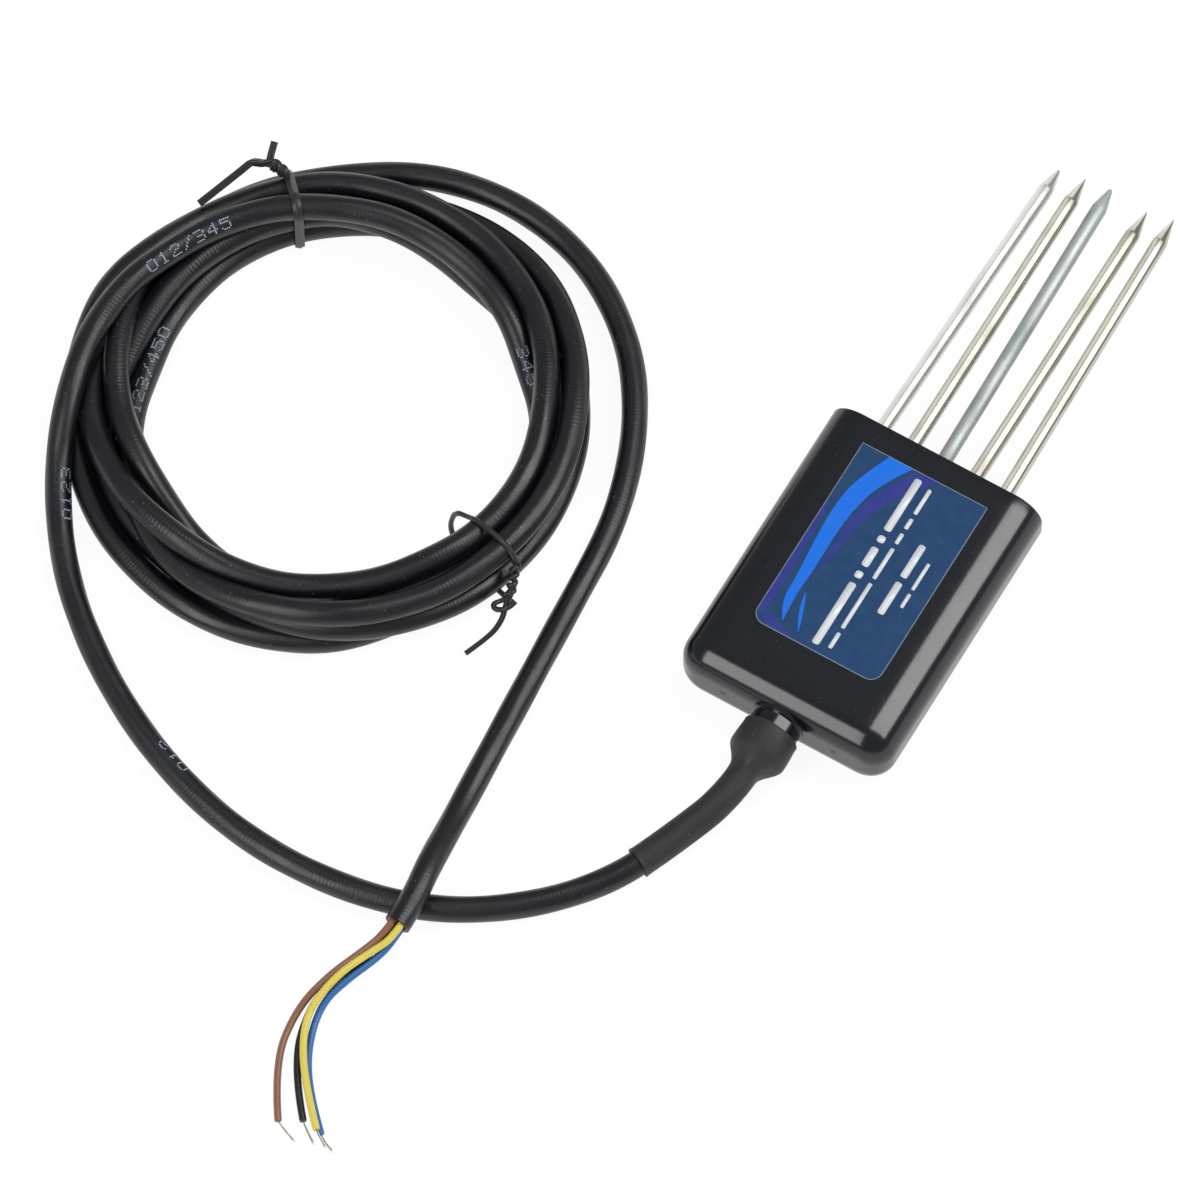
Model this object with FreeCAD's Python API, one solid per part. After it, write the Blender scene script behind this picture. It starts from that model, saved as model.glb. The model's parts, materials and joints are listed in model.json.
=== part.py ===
import FreeCAD, Part
import math
import os

V = FreeCAD.Vector

# Soil moisture sensor: a potted housing with five metal probes, on a lead that is tied
# in a coil and ends in four bare wires. Millimetres. The origin is the centre of the
# housing's flat back. +Y runs along the probes to their tips, +Z leaves the labelled face.

# ---- Housing: a moulded cup, open at the probe end, with a neck for the lead ----
housing_width = 45.0
housing_length = 60.0
housing_thickness = 15.0
edge_radius = 6.0          # the four long edges
end_radius = 5.0           # the edges round the cable end
side_wall = 2.2
end_wall = 3.0
rim_height = 0.6           # the rim stands this far above the potting
neck_radius = 5.0
neck_length = 8.0
gate_radius = 0.45         # two small moulding pips on the end wall
gate_spacing = 23.6
gate_depth = 0.4

# ---- Label ----
label_width = 26.8
label_length = 41.8
label_thickness = 0.15
label_corner = 2.5         # the two corners nearest the cable
label_shift = 3.9          # its centre is this far towards the probes

# ---- Probes: five rods in a row at half thickness ----
probe_radius = 1.5
probe_pitch = 6.7
probe_reach = (66.3, 67.2, 67.7, 67.0, 68.2)   # past the housing's rim
probe_toe = (1.6, 0.3, -0.9, 0.4, -0.9)        # degrees that each rod leans
probe_taper = (4.8, 5.6, 4.6, 5.6, 5.6)        # length of each point
probe_tip_radius = (0.35, 0.12, 0.35, 0.12, 0.12)
root_radius = 1.2
root_length = 14.0
sensing_probe = 2          # the middle rod is hollow and holds the thermistor
sensing_bore = 0.8
bore_to_tip = 8.0

# ---- Circuit board and what is on it ----
board_width = 34.0
board_length = 44.0
board_thickness = 1.6
board_gap = 0.1            # under the probes' roots
board_shift = 2.0          # its centre is this far towards the probes
joint_radius = 2.3
joint_height = 1.6
bead_radius = 0.7
bead_length = 4.0
bead_wire_radius = 0.2
bead_wire_spacing = 0.7
chip_size = (7.0, 7.0, 1.4)
transceiver_size = (5.0, 4.0, 1.5)
regulator_size = (6.5, 3.5, 1.7)
crystal_size = (11.0, 4.6, 3.6)
capacitor_radius = 2.5
capacitor_height = 5.0
resistor_size = (1.3, 2.0, 0.6)

# ---- Lead ----
cable_radius = 2.5
cable_inside = 2.0         # how far it reaches into the potting
sleeve_wall = 0.45
sleeve_gap = 2.0           # from the end wall to the sleeve's mouth
sleeve_mouth_wall = 0.5
sleeve_past_neck = 2.6     # where the sleeve has shrunk onto the cable
sleeve_end = 33.4          # its cut edge, past the neck's mouth along the housing's axis
core_radius = 0.7
core_offset = 0.85
conductor_radius = 0.3
coil_centre = V(-104.9, -15.5, 0)
coil_outer = 51.0
coil_inner = 34.5
coil_height = 13.5
coil_round = 3.5

# ---- Twist ties ----
tie_thickness = 0.9
tie_proud = 0.4            # out of the coil's outline
upper_tie_width = 1.6
upper_tie_angle = 131.0
lower_tie_width = 0.9
lower_tie_angle = -16.0
tie_tail_radius = 0.6

# Worked out from the sizes above.
mid_z = housing_thickness / 2
rim_y = housing_length / 2
end_y = -housing_length / 2
neck_y = end_y - neck_length
potting_y = rim_y - rim_height
cavity_y = end_y + end_wall
cable_y = cavity_y + cable_inside
board_top = mid_z - root_radius - board_gap
inner_radius = edge_radius - side_wall

# Routes, as the points between which the straight runs lie.
lead_route = [
    (0.0, neck_y + 4.0, mid_z), (0.0, -46.5, mid_z), (-5.6, -58.6, 3.7), (-11.6, -71.8, 2.5),
    (-23.0, -84.5, 2.5), (-38.0, -94.0, 2.5), (-56.0, -98.4, 2.5), (-76.0, -98.4, 2.5),
    (-96.0, -93.0, 2.5), (-115.0, -83.0, 2.5), (-131.5, -69.5, 2.5), (-143.2, -53.2, 3.6),
    (-148.0, -42.0, 8.6), (-150.3, -30.5, 10.3),
]
tail_route = [
    (-139.7, 17.0, 2.5), (-129.5, 28.3, 2.5), (-116.0, 37.2, 2.5), (-98.0, 40.6, 2.5),
    (-79.5, 36.6, 2.5), (-64.0, 25.5, 2.5), (-54.0, 10.5, 2.5), (-48.0, -7.5, 2.5),
    (-46.6, -27.0, 2.5), (-45.2, -46.0, 2.5), (-44.0, -62.0, 2.5), (-42.9, -75.0, 2.9),
    (-41.2, -87.5, 7.6), (-40.0, -95.2, 7.8), (-40.0, -101.0, 7.8),
]
tail_end = V(*tail_route[-1])
core_lead_out = 3.2        # each wire leaves the cable straight for this far
core_routes = {
    "brown": [(-43.5, -108.8, 5.8), (-46.8, -114.4, 2.9), (-49.0, -122.3, 0.7),
              (-47.0, -133.8, 0.7), (-40.4, -143.3, 0.7)],
    "yellow": [(-41.3, -107.7, 7.4), (-45.0, -113.6, 4.6), (-46.7, -121.5, 2.3),
               (-44.4, -128.0, 2.2), (-39.3, -135.3, 2.2), (-33.1, -141.7, 2.1)],
    "black": [(-42.3, -108.6, 4.6), (-45.7, -114.2, 1.7), (-47.2, -121.0, 0.7),
              (-43.9, -132.3, 0.7), (-36.4, -141.0, 0.7)],
    "blue": [(-40.4, -107.8, 5.1), (-43.1, -112.9, 2.6), (-45.0, -119.0, 0.7),
             (-42.2, -128.6, 0.7), (-37.2, -135.9, 0.7), (-32.2, -141.6, 0.7)],
}
core_starts = {"brown": (-1, 1), "yellow": (1, 1), "black": (-1, -1), "blue": (1, -1)}
conductor_tips = {
    "brown": (-38.3, -144.3, 0.6, -35.6, -145.2, 0.4),
    "yellow": (-31.6, -142.8, 2.0, -29.8, -143.8, 1.6),
    "black": (-34.7, -142.4, 0.6, -32.3, -143.9, 0.4),
    "blue": (-30.3, -142.9, 0.6, -28.4, -143.4, 0.4),
}
pad_x = {"brown": -5.5, "yellow": 5.5, "black": -1.8, "blue": 1.8}


def save(name, shape):
    """Check a piece and write it to its own file."""
    for solid in shape.Solids:
        if not solid.isValid() or solid.Volume <= 0:
            raise ValueError("bad solid in " + name)
    shape.exportStep("parts/" + name + ".step")
    print(name, len(shape.Solids), round(shape.Volume, 2))


def box(size, centre_x, centre_y, base_z):
    """A block that stands on base_z."""
    corner = V(centre_x - size[0] / 2, centre_y - size[1] / 2, base_z)
    return Part.makeBox(size[0], size[1], size[2], corner)


def rod(radius, start, end):
    """A round bar between two points."""
    return Part.makeCylinder(radius, (end - start).Length, start, end - start)


def rounded_section(u_low, u_high, v_low, v_high, radius, place):
    """A face with the outline of a rectangle with round corners, put in space by place."""
    left, right = u_low + radius, u_high - radius
    low, high = v_low + radius, v_high - radius
    lines = [
        Part.LineSegment(place(left, v_low), place(right, v_low)),
        Part.LineSegment(place(u_high, low), place(u_high, high)),
        Part.LineSegment(place(right, v_high), place(left, v_high)),
        Part.LineSegment(place(u_low, high), place(u_low, low)),
    ]
    bend = radius * (1 - math.sqrt(0.5))
    arcs = [
        Part.Arc(place(right, v_low), place(u_high - bend, v_low + bend), place(u_high, low)),
        Part.Arc(place(u_high, high), place(u_high - bend, v_high - bend), place(right, v_high)),
        Part.Arc(place(left, v_high), place(u_low + bend, v_high - bend), place(u_low, high)),
        Part.Arc(place(u_low, low), place(u_low + bend, v_low + bend), place(left, v_low)),
    ]
    edges = [piece.toShape() for pair in zip(lines, arcs) for piece in pair]
    return Part.Face(Part.Wire(edges))


def bar(width, thickness, radius, y_low, y_high):
    """A bar along Y whose section is a rectangle with round corners."""
    base_z = mid_z - thickness / 2
    face = rounded_section(-width / 2, width / 2, base_z, base_z + thickness, radius,
                           lambda u, v: V(u, y_low, v))
    return face.extrude(V(0, y_high - y_low, 0))


def route_wire(points):
    """Straight runs joined by tangent arcs, as large as the shorter run at each allows."""
    places = [V(*point) for point in points]
    edges, start, smallest = [], places[0], None
    for before, corner, after in zip(places, places[1:], places[2:]):
        back, ahead = before - corner, after - corner
        reach = 0.45 * min(back.Length, ahead.Length)
        back.normalize()
        ahead.normalize()
        half_turn = (math.pi - back.getAngle(ahead)) / 2
        radius = reach / math.tan(half_turn)
        middle = back + ahead
        middle.normalize()
        centre = corner + middle * math.hypot(reach, radius)
        enter, leave = corner + back * reach, corner + ahead * reach
        edges.append(Part.LineSegment(start, enter).toShape())
        edges.append(Part.Arc(enter, centre - middle * radius, leave).toShape())
        start = leave
        smallest = radius if smallest is None else min(smallest, radius)
    edges.append(Part.LineSegment(start, places[-1]).toShape())
    return Part.Wire(edges), smallest


def tube(name, points, radius):
    """A round cord along a route. Prints its length, tightest bend and volume ratio."""
    path, smallest = route_wire(points)
    start = V(*points[0])
    circle = Part.Wire(Part.makeCircle(radius, start, V(*points[1]) - start))
    solid = path.makePipeShell([circle], True, False)
    ratio = solid.Volume / (math.pi * radius ** 2 * path.Length)
    print(name, "length", round(path.Length, 1), "tightest", round(smallest, 1),
          "volume", round(ratio, 4))
    return solid


def make_shell():
    """The cup: outer bar with a rounded cable end, less its cavity, with neck and bore."""
    outer = bar(housing_width, housing_thickness, edge_radius, end_y, rim_y)
    end_edges = [edge for edge in outer.Edges
                 if all(abs(vertex.Y - end_y) < 0.001 for vertex in edge.Vertexes)]
    outer = outer.makeFillet(end_radius, end_edges)
    neck = rod(neck_radius, V(0, end_y + 1, mid_z), V(0, neck_y, mid_z))
    cavity = make_cavity(rim_y + 1)
    bore = rod(cable_radius, V(0, cavity_y + 1, mid_z), V(0, neck_y - 1, mid_z))
    shell = outer.fuse(neck).cut(cavity).cut(bore)
    for side in (-1, 1):
        pip = V(side * gate_spacing / 2, end_y, mid_z)
        shell = shell.cut(rod(gate_radius, pip - V(0, 1, 0), pip + V(0, gate_depth, 0)))
    return shell.removeSplitter()


def make_cavity(top_y):
    """The space in the cup, up to top_y."""
    return bar(housing_width - 2 * side_wall, housing_thickness - 2 * side_wall,
               inner_radius, cavity_y, top_y)


def probe_x(index):
    """Where a probe leaves the potting."""
    return (index - 2) * probe_pitch


def lean(shape, index):
    """Turn a piece that was built straight along Y to its probe's lean."""
    turned = shape.copy()
    turned.rotate(V(probe_x(index), potting_y, mid_z), V(0, 0, 1), -probe_toe[index])
    return turned


def probe_tip_y(index):
    """Where a probe's point ends, before its lean."""
    return rim_y + probe_reach[index]


def make_probe(index):
    """A rod with a thinner root in the potting, a long point and a round nose."""
    x = probe_x(index)
    tip_y, nose = probe_tip_y(index), probe_tip_radius[index]
    shoulder_y = tip_y - probe_taper[index]
    root_y = potting_y - root_length
    outline = [
        V(x, root_y, mid_z), V(x + root_radius, root_y, mid_z),
        V(x + root_radius, potting_y, mid_z), V(x + probe_radius, potting_y, mid_z),
        V(x + probe_radius, shoulder_y, mid_z), V(x + nose, tip_y - nose, mid_z),
    ]
    edges = [Part.LineSegment(a, b).toShape() for a, b in zip(outline, outline[1:])]
    bend = nose * math.sqrt(0.5)
    edges.append(Part.Arc(outline[-1], V(x + bend, tip_y - nose + bend, mid_z),
                          V(x, tip_y, mid_z)).toShape())
    edges.append(Part.LineSegment(V(x, tip_y, mid_z), outline[0]).toShape())
    solid = Part.Face(Part.Wire(edges)).revolve(V(x, 0, mid_z), V(0, 1, 0), 360)
    if index == sensing_probe:
        hole_end = V(x, tip_y - bore_to_tip, mid_z)
        solid = solid.cut(rod(sensing_bore, V(x, root_y - 1, mid_z), hole_end))
    return lean(solid, index)


def make_joint(index):
    """A solder mound that holds a probe's root to the board."""
    centre = V(probe_x(index), potting_y - root_length + joint_radius, board_top)
    mound = Part.makeCone(joint_radius, joint_radius / 2, joint_height, centre)
    root = rod(root_radius, V(centre.x, centre.y - root_length, mid_z),
               V(centre.x, potting_y, mid_z))
    return mound.cut(root)


def make_bead():
    """The thermistor at the blind end of the middle probe's bore."""
    x = probe_x(sensing_probe)
    end = V(x, probe_tip_y(sensing_probe) - bore_to_tip, mid_z)
    return lean(rod(bead_radius, end - V(0, bead_length, 0), end), sensing_probe)


def make_bead_wires():
    """Two wires from the thermistor, through the bore and down to the board."""
    x = probe_x(sensing_probe)
    start_y = probe_tip_y(sensing_probe) - bore_to_tip - bead_length
    turn_y = potting_y - root_length - 2
    wires = []
    for side in (-1, 1):
        wire_x = x + side * bead_wire_spacing / 2
        route = [(wire_x, start_y, mid_z), (wire_x, turn_y, mid_z), (wire_x, turn_y, board_top)]
        wires.append(tube("thermistor_wire", route, bead_wire_radius))
    return lean(Part.Compound(wires), sensing_probe)


def make_resistors():
    """Small chips in two rows of four."""
    places = [(x, y) for y in (-9.0, 10.0) for x in (-4.5, -1.5, 1.5, 4.5)]
    return Part.Compound([box(resistor_size, x, y, board_top) for x, y in places])


def make_capacitors():
    """Two round cans that stand on the board."""
    cans = [Part.makeCylinder(capacitor_radius, capacitor_height, V(12.0, y, board_top))
            for y in (-12.0, 3.0)]
    return Part.Compound(cans)


def make_inner_core(colour):
    """The end of a wire, from the cable's stripped end down onto its pad."""
    side, level = core_starts[colour]
    x, z = side * core_offset, mid_z + level * core_offset
    end_x = pad_x[colour]
    low = board_top + core_radius
    route = [(x, cable_y, z), (x, cable_y + 2.6, z),
             ((x + end_x) / 2, cable_y + 6.0, low + 0.5 + 0.3 * level), (end_x, cable_y + 10.0, low)]
    return tube("inner_core_" + colour, route, core_radius)


def make_label():
    """A thin sheet on the front face, with two round corners at the cable end."""
    low_y = label_shift - label_length / 2
    sheet = box((label_width, label_length, label_thickness), 0, label_shift, housing_thickness)
    corners = [edge for edge in sheet.Edges
               if all(abs(vertex.Y - low_y) < 0.001 for vertex in edge.Vertexes)
               and abs(edge.Vertexes[0].Z - edge.Vertexes[-1].Z) > label_thickness / 2]
    return sheet.makeFillet(label_corner, corners)


def make_cable_lead(coil):
    """The lead from inside the housing to the coil, which trims its end."""
    start = V(*lead_route[0])
    inside = rod(cable_radius, V(0, cable_y, mid_z), start)
    lead = inside.fuse(tube("cable_lead", lead_route, cable_radius))
    return lead.removeSplitter().cut(coil)


def make_sleeve():
    """Heat-shrunk sleeve: wide over the neck, then tight along the cable to its cut edge."""
    mouth_y = end_y - sleeve_gap
    mouth_radius = neck_radius + sleeve_mouth_wall
    shrunk_radius = cable_radius + sleeve_wall
    taper_y = neck_y - sleeve_past_neck
    outline = [V(0, mouth_y, mid_z), V(mouth_radius, mouth_y, mid_z),
               V(mouth_radius, neck_y, mid_z), V(shrunk_radius, taper_y, mid_z),
               V(0, taper_y, mid_z)]
    bulb = Part.Face(Part.makePolygon(outline + outline[:1]))
    bulb = bulb.revolve(V(0, 0, mid_z), V(0, 1, 0), 360)
    bent = tube("heat_shrink_sleeve", lead_route[:4], shrunk_radius)
    before, after = V(*lead_route[2]), V(*lead_route[3])
    cut_y = neck_y - sleeve_end + 5.0
    cut = before + (after - before) * ((cut_y - before.y) / (after.y - before.y))
    bent = bent.cut(rod(4 * cable_radius, cut, cut + (after - before) * 3))
    sleeve = bulb.fuse(bent).cut(rod(neck_radius, V(0, end_y, mid_z), V(0, neck_y, mid_z)))
    return sleeve.cut(tube("cable_in_sleeve", lead_route[:4], cable_radius))


def make_coil():
    """The outer shape of the coil's turns: a ring with round edges."""
    ring = Part.makeCylinder(coil_outer, coil_height, coil_centre)
    ring = ring.cut(Part.makeCylinder(coil_inner, coil_height, coil_centre))
    round_edges = [edge for edge in ring.Edges if len(edge.Vertexes) == 1]
    return ring.makeFillet(coil_round, round_edges)


def make_tie(angle, width, tails):
    """A loop round the coil's section, with its twisted ends."""
    turn = math.radians(angle)
    radial = V(math.cos(turn), math.sin(turn), 0)
    along = V(-math.sin(turn), math.cos(turn), 0)

    def place(u, v):
        return coil_centre + radial * u - along * (width / 2) + V(0, 0, v)

    low, high, top = coil_inner - tie_proud, coil_outer + tie_proud, coil_height + tie_proud
    outer = rounded_section(low, high, 0, top, coil_round, place)
    inner = rounded_section(low + tie_thickness, high - tie_thickness, tie_thickness,
                            top - tie_thickness, coil_round - tie_thickness, place)
    loop = outer.extrude(along * width).cut(inner.extrude(along * width))
    for tail in tails:
        loop = loop.fuse(tube("tie_tail", tail, tie_tail_radius))
    return loop.removeSplitter()


upper_tails = [
    [(-138.0, 21.9, 12.6), (-139.6, 20.6, 12.9), (-142.9, 17.9, 13.0), (-147.4, 7.2, 14.2)],
    [(-138.2, 22.1, 12.8), (-139.6, 21.6, 13.4), (-140.9, 23.4, 14.0)],
]
lower_tails = [
    [(-56.6, -29.5, 10.4), (-55.2, -31.5, 8.0), (-55.6, -34.6, 4.4), (-56.2, -38.6, 1.6),
     (-58.9, -44.5, 0.8)],
]

os.makedirs("parts", exist_ok=True)

probes = [make_probe(index) for index in range(len(probe_reach))]
for number, probe in enumerate(probes, 1):
    save("probe_%d" % number, probe)

board = box((board_width, board_length, board_thickness), 0, board_shift,
            board_top - board_thickness)
joints = Part.Compound([make_joint(index) for index in range(len(probe_reach))])
on_board = {
    "microcontroller": box(chip_size, 0, 0, board_top),
    "bus_transceiver": box(transceiver_size, -9.0, -9.0, board_top),
    "voltage_regulator": box(regulator_size, 10.5, -5.0, board_top),
    "crystal": box(crystal_size, -10.0, 3.0, board_top),
    "capacitors": make_capacitors(),
    "resistors": make_resistors(),
    "thermistor": make_bead(),
    "thermistor_wires": make_bead_wires(),
}
joints = joints.cut(Part.Compound(probes))
inner_cores = {"inner_core_" + colour: make_inner_core(colour) for colour in core_starts}
for name, shape in {"circuit_board": board, "solder_joints": joints,
                    **on_board, **inner_cores}.items():
    save(name, shape)

coil = make_coil()
upper_tie = make_tie(upper_tie_angle, upper_tie_width, upper_tails)
lower_tie = make_tie(lower_tie_angle, lower_tie_width, lower_tails)
lead = make_cable_lead(coil)
tail_pieces = tube("cable_tail", tail_route, cable_radius).cut([coil, upper_tie]).Solids
tail = max(tail_pieces, key=lambda piece: piece.Volume)

shell = make_shell()
save("housing_shell", shell)
potting = make_cavity(potting_y).cut([*probes, board, *joints.Solids, *on_board.values(),
                                      *inner_cores.values(), lead])
save("potting_compound", potting)
save("label", make_label())
save("heat_shrink_sleeve", make_sleeve())
save("cable_lead", lead)
save("cable_coil", coil.cut([upper_tie, lower_tie]))
save("cable_tail", tail)
save("twist_tie_upper", upper_tie)
save("twist_tie_lower", lower_tie)

for colour, (side, level) in core_starts.items():
    start = tail_end + V(side * core_offset, 0, level * core_offset)
    route = [tuple(start), tuple(start - V(0, core_lead_out, 0))] + core_routes[colour]
    save("core_" + colour, tube("core_" + colour, route, core_radius))
    tip = conductor_tips[colour]
    save("conductor_" + colour,
         tube("conductor_" + colour, [route[-1], tip[:3], tip[3:]], conductor_radius))
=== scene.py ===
"""Visual model of a soil moisture sensor.

A glossy potted housing with five metal probes, on a lead that is tied in a coil and ends in
four stripped wires. Sizes are millimetres until they go into a mesh, where they are metres.
The frame is the CAD's: the origin at the centre of the housing's flat back, +Y towards the
probes' tips, +Z out of the labelled front.
"""

import json
import logging
from dataclasses import dataclass, field
from enum import Enum

import bpy
import numpy as np
from mathutils import Matrix, Vector

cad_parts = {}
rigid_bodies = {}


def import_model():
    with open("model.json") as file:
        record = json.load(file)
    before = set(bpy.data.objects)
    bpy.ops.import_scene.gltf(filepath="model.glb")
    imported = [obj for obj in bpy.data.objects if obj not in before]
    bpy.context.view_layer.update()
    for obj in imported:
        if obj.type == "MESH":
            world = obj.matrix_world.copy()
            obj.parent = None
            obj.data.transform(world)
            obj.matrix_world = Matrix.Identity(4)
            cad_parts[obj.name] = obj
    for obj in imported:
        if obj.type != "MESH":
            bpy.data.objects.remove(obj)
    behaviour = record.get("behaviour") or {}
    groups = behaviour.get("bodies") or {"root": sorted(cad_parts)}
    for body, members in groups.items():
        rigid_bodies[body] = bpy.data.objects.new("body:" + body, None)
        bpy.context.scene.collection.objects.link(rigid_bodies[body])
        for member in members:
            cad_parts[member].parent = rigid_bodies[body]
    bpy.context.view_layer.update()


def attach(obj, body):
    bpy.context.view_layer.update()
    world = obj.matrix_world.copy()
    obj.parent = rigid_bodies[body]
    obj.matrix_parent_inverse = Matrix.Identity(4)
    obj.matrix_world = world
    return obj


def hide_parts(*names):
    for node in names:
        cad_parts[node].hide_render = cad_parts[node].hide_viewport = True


Piece = bpy.types.Object
Tree = bpy.types.NodeTree
Socket = bpy.types.NodeSocket

MM = 0.001
UP = np.array([0.0, 0.0, 1.0])
LOG = logging.getLogger("soil_sensor")


# ---------------------------------------------------------------- surfaces


def grid_quads(rows: int, cols: int, wrap_rows: bool = False) -> tuple[np.ndarray, np.ndarray]:
    """Quads between the neighbouring points of a grid that is closed round its columns.

    Corner k of the quad at (i, j) is (i, j), (i, j+1), (i+1, j+1), (i+1, j), with j taken
    modulo the columns, and i modulo the rows when they are closed too.

    Args:
        rows: Number of rings.
        cols: Points on each ring.
        wrap_rows: Whether the last ring joins the first.

    Returns:
        The vertex numbers of each quad, and the unwrapped (row, column) of each corner.
    """
    i, j = np.meshgrid(np.arange(rows if wrap_rows else rows - 1), np.arange(cols), indexing="ij")
    corners = np.stack([np.stack([i, j], -1), np.stack([i, j + 1], -1),
                        np.stack([i + 1, j + 1], -1), np.stack([i + 1, j], -1)], 2)
    corners = corners.reshape(-1, 4, 2)
    return (corners[..., 0] % rows) * cols + corners[..., 1] % cols, corners


def volume_of(points: np.ndarray, faces: list[list[int]]) -> float:
    """Signed volume: the sum over triangles (a, b, c) of a . (b x c) / 6.

    Args:
        points: (n, 3) points.
        faces: Vertex numbers of each face.

    Returns:
        The volume, in the points' unit cubed, negative if the faces point inwards.
    """
    tris = np.array([[f[0], f[k], f[k + 1]] for f in faces for k in range(1, len(f) - 1)])
    a, b, c = (points[tris[:, k]] for k in range(3))
    return float(np.einsum("ij,ij->i", a, np.cross(b, c)).sum() / 6)


def put_mesh(name: str, points: np.ndarray, faces: list[list[int]],
             uvs: list[tuple[float, float]] | None = None) -> Piece:
    """Make a smooth object of points in millimetres, turned so that its faces point outwards.

    Args:
        name: The object's name.
        points: (n, 3) array, in millimetres.
        faces: Vertex numbers of each face.
        uvs: One pair for each face corner, in the faces' order.

    Returns:
        The object, at the origin.
    """
    points = np.asarray(points, float).reshape(-1, 3)
    if volume_of(points - points.mean(0), faces) < 0:
        if uvs is not None:
            ends = np.cumsum([len(face) for face in faces])
            uvs = [pair for end, face in zip(ends, faces)
                   for pair in uvs[end - len(face):end][::-1]]
        faces = [face[::-1] for face in faces]
    mesh = bpy.data.meshes.new(name)
    mesh.from_pydata((points * MM).tolist(), [], faces)
    if uvs is not None:
        layer = mesh.uv_layers.new(name="UVMap")
        layer.data.foreach_set("uv", np.asarray(uvs, float).ravel())
    mesh.polygons.foreach_set("use_smooth", [True] * len(mesh.polygons))
    mesh.update()
    piece = bpy.data.objects.new(name, mesh)
    bpy.context.scene.collection.objects.link(piece)
    return piece


def ring_mesh(name: str, rings: np.ndarray, along: np.ndarray, closed: bool = False,
              caps: bool = True, sharp: float = 40.0) -> Piece:
    """Skin a stack of closed rings. U runs once round a ring, V is along, in metres.

    Args:
        name: The object's name.
        rings: (rows, cols, 3) points in millimetres.
        along: (rows,) distance of each ring, in millimetres.
        closed: Whether the last ring joins the first.
        caps: Whether each end is closed by a fan to its ring's centre.
        sharp: Edges that turn more than this many degrees are shaded as sharp.

    Returns:
        The object.
    """
    rows, cols = rings.shape[:2]
    quads, corners = grid_quads(rows, cols, closed)
    step = np.append(np.asarray(along, float), along[-1] + 1.0) * MM
    uv = np.stack([corners[..., 1] / cols, step[corners[..., 0]]], -1).reshape(-1, 2)
    points, faces, uvs = rings.reshape(-1, 3), quads.tolist(), [tuple(pair) for pair in uv]
    if caps and not closed:
        ends = [(0, rings[0]), (rows - 1, rings[-1])]
        points = np.vstack([points] + [ring.mean(0)[None] for _, ring in ends])
        for number, (row, _) in enumerate(ends):
            middle = rows * cols + number
            for j in range(cols):
                pair = [row * cols + j, row * cols + (j + 1) % cols]
                faces.append([middle] + (pair if number else pair[::-1]))
                uvs += [(j / cols, step[row])] * 3
    piece = put_mesh(name, points, faces, uvs)
    piece.data.set_sharp_from_angle(angle=np.radians(sharp))
    return piece


def frame_along(line: np.ndarray, towards: np.ndarray = UP) -> tuple[np.ndarray, ...]:
    """Unit tangent, side and top vectors along a line.

    tangent = the line's gradient, side = tangent x towards, top = side x tangent.

    Args:
        line: (n, 3) points.
        towards: A direction that the line never runs along, or one for each point.

    Returns:
        Three (n, 3) arrays.
    """
    tangent = np.gradient(line, axis=0)
    tangent /= np.linalg.norm(tangent, axis=1, keepdims=True)
    side = np.cross(tangent, np.broadcast_to(towards, line.shape))
    side /= np.linalg.norm(side, axis=1, keepdims=True)
    return tangent, side, np.cross(side, tangent)


def distances(line: np.ndarray) -> np.ndarray:
    """Distance along a line to each of its points."""
    return np.concatenate([[0.0], np.cumsum(np.linalg.norm(np.diff(line, axis=0), axis=1))])


def resample(line: np.ndarray, step: float) -> np.ndarray:
    """The same line with points at even distances of about step.

    Args:
        line: (n, 3) points.
        step: The distance wanted between points.

    Returns:
        (m, 3) points.
    """
    along = distances(line)
    places = np.linspace(0, along[-1], max(2, int(round(along[-1] / step)) + 1))
    return np.stack([np.interp(places, along, line[:, k]) for k in range(3)], -1)


def sweep(line: np.ndarray, radii: np.ndarray, cols: int, towards: np.ndarray = UP) -> np.ndarray:
    """Rings round a line: point = line + r (cos a side + sin a top), with a round the ring.

    Args:
        line: (n, 3) centre of each ring.
        radii: (n,) or (n, cols) radius of each ring or point.
        cols: Points on each ring.
        towards: Reference direction for frame_along.

    Returns:
        (n, cols, 3) points.
    """
    _, side, top = frame_along(line, towards)
    turn = np.linspace(0, 2 * np.pi, cols, endpoint=False)
    radii = np.broadcast_to(np.asarray(radii, float).reshape(len(line), -1), (len(line), cols))
    return (line[:, None] + (radii * np.cos(turn))[..., None] * side[:, None]
            + (radii * np.sin(turn))[..., None] * top[:, None])


def smooth_line(name: str, route: np.ndarray, per_span: int = 12) -> np.ndarray:
    """Points along the smooth NURBS curve whose control points are the route's.

    Args:
        name: Name of the scratch curve.
        route: (n, 3) control points in millimetres.
        per_span: Points worked out between two control points.

    Returns:
        (m, 3) points in millimetres.
    """
    data = bpy.data.curves.new(name, "CURVE")
    data.dimensions = "3D"
    spline = data.splines.new("NURBS")
    spline.points.add(len(route) - 1)
    spline.points.foreach_set("co", np.c_[route * MM, np.ones(len(route))].ravel())
    spline.order_u = 3
    spline.use_endpoint_u = True
    spline.resolution_u = per_span
    scratch = bpy.data.objects.new(name, data)
    bpy.context.scene.collection.objects.link(scratch)
    mesh = bpy.data.meshes.new_from_object(scratch)
    line = np.empty(len(mesh.vertices) * 3)
    mesh.vertices.foreach_get("co", line)
    bpy.data.objects.remove(scratch)
    bpy.data.meshes.remove(mesh)
    return line.reshape(-1, 3) / MM


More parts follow.
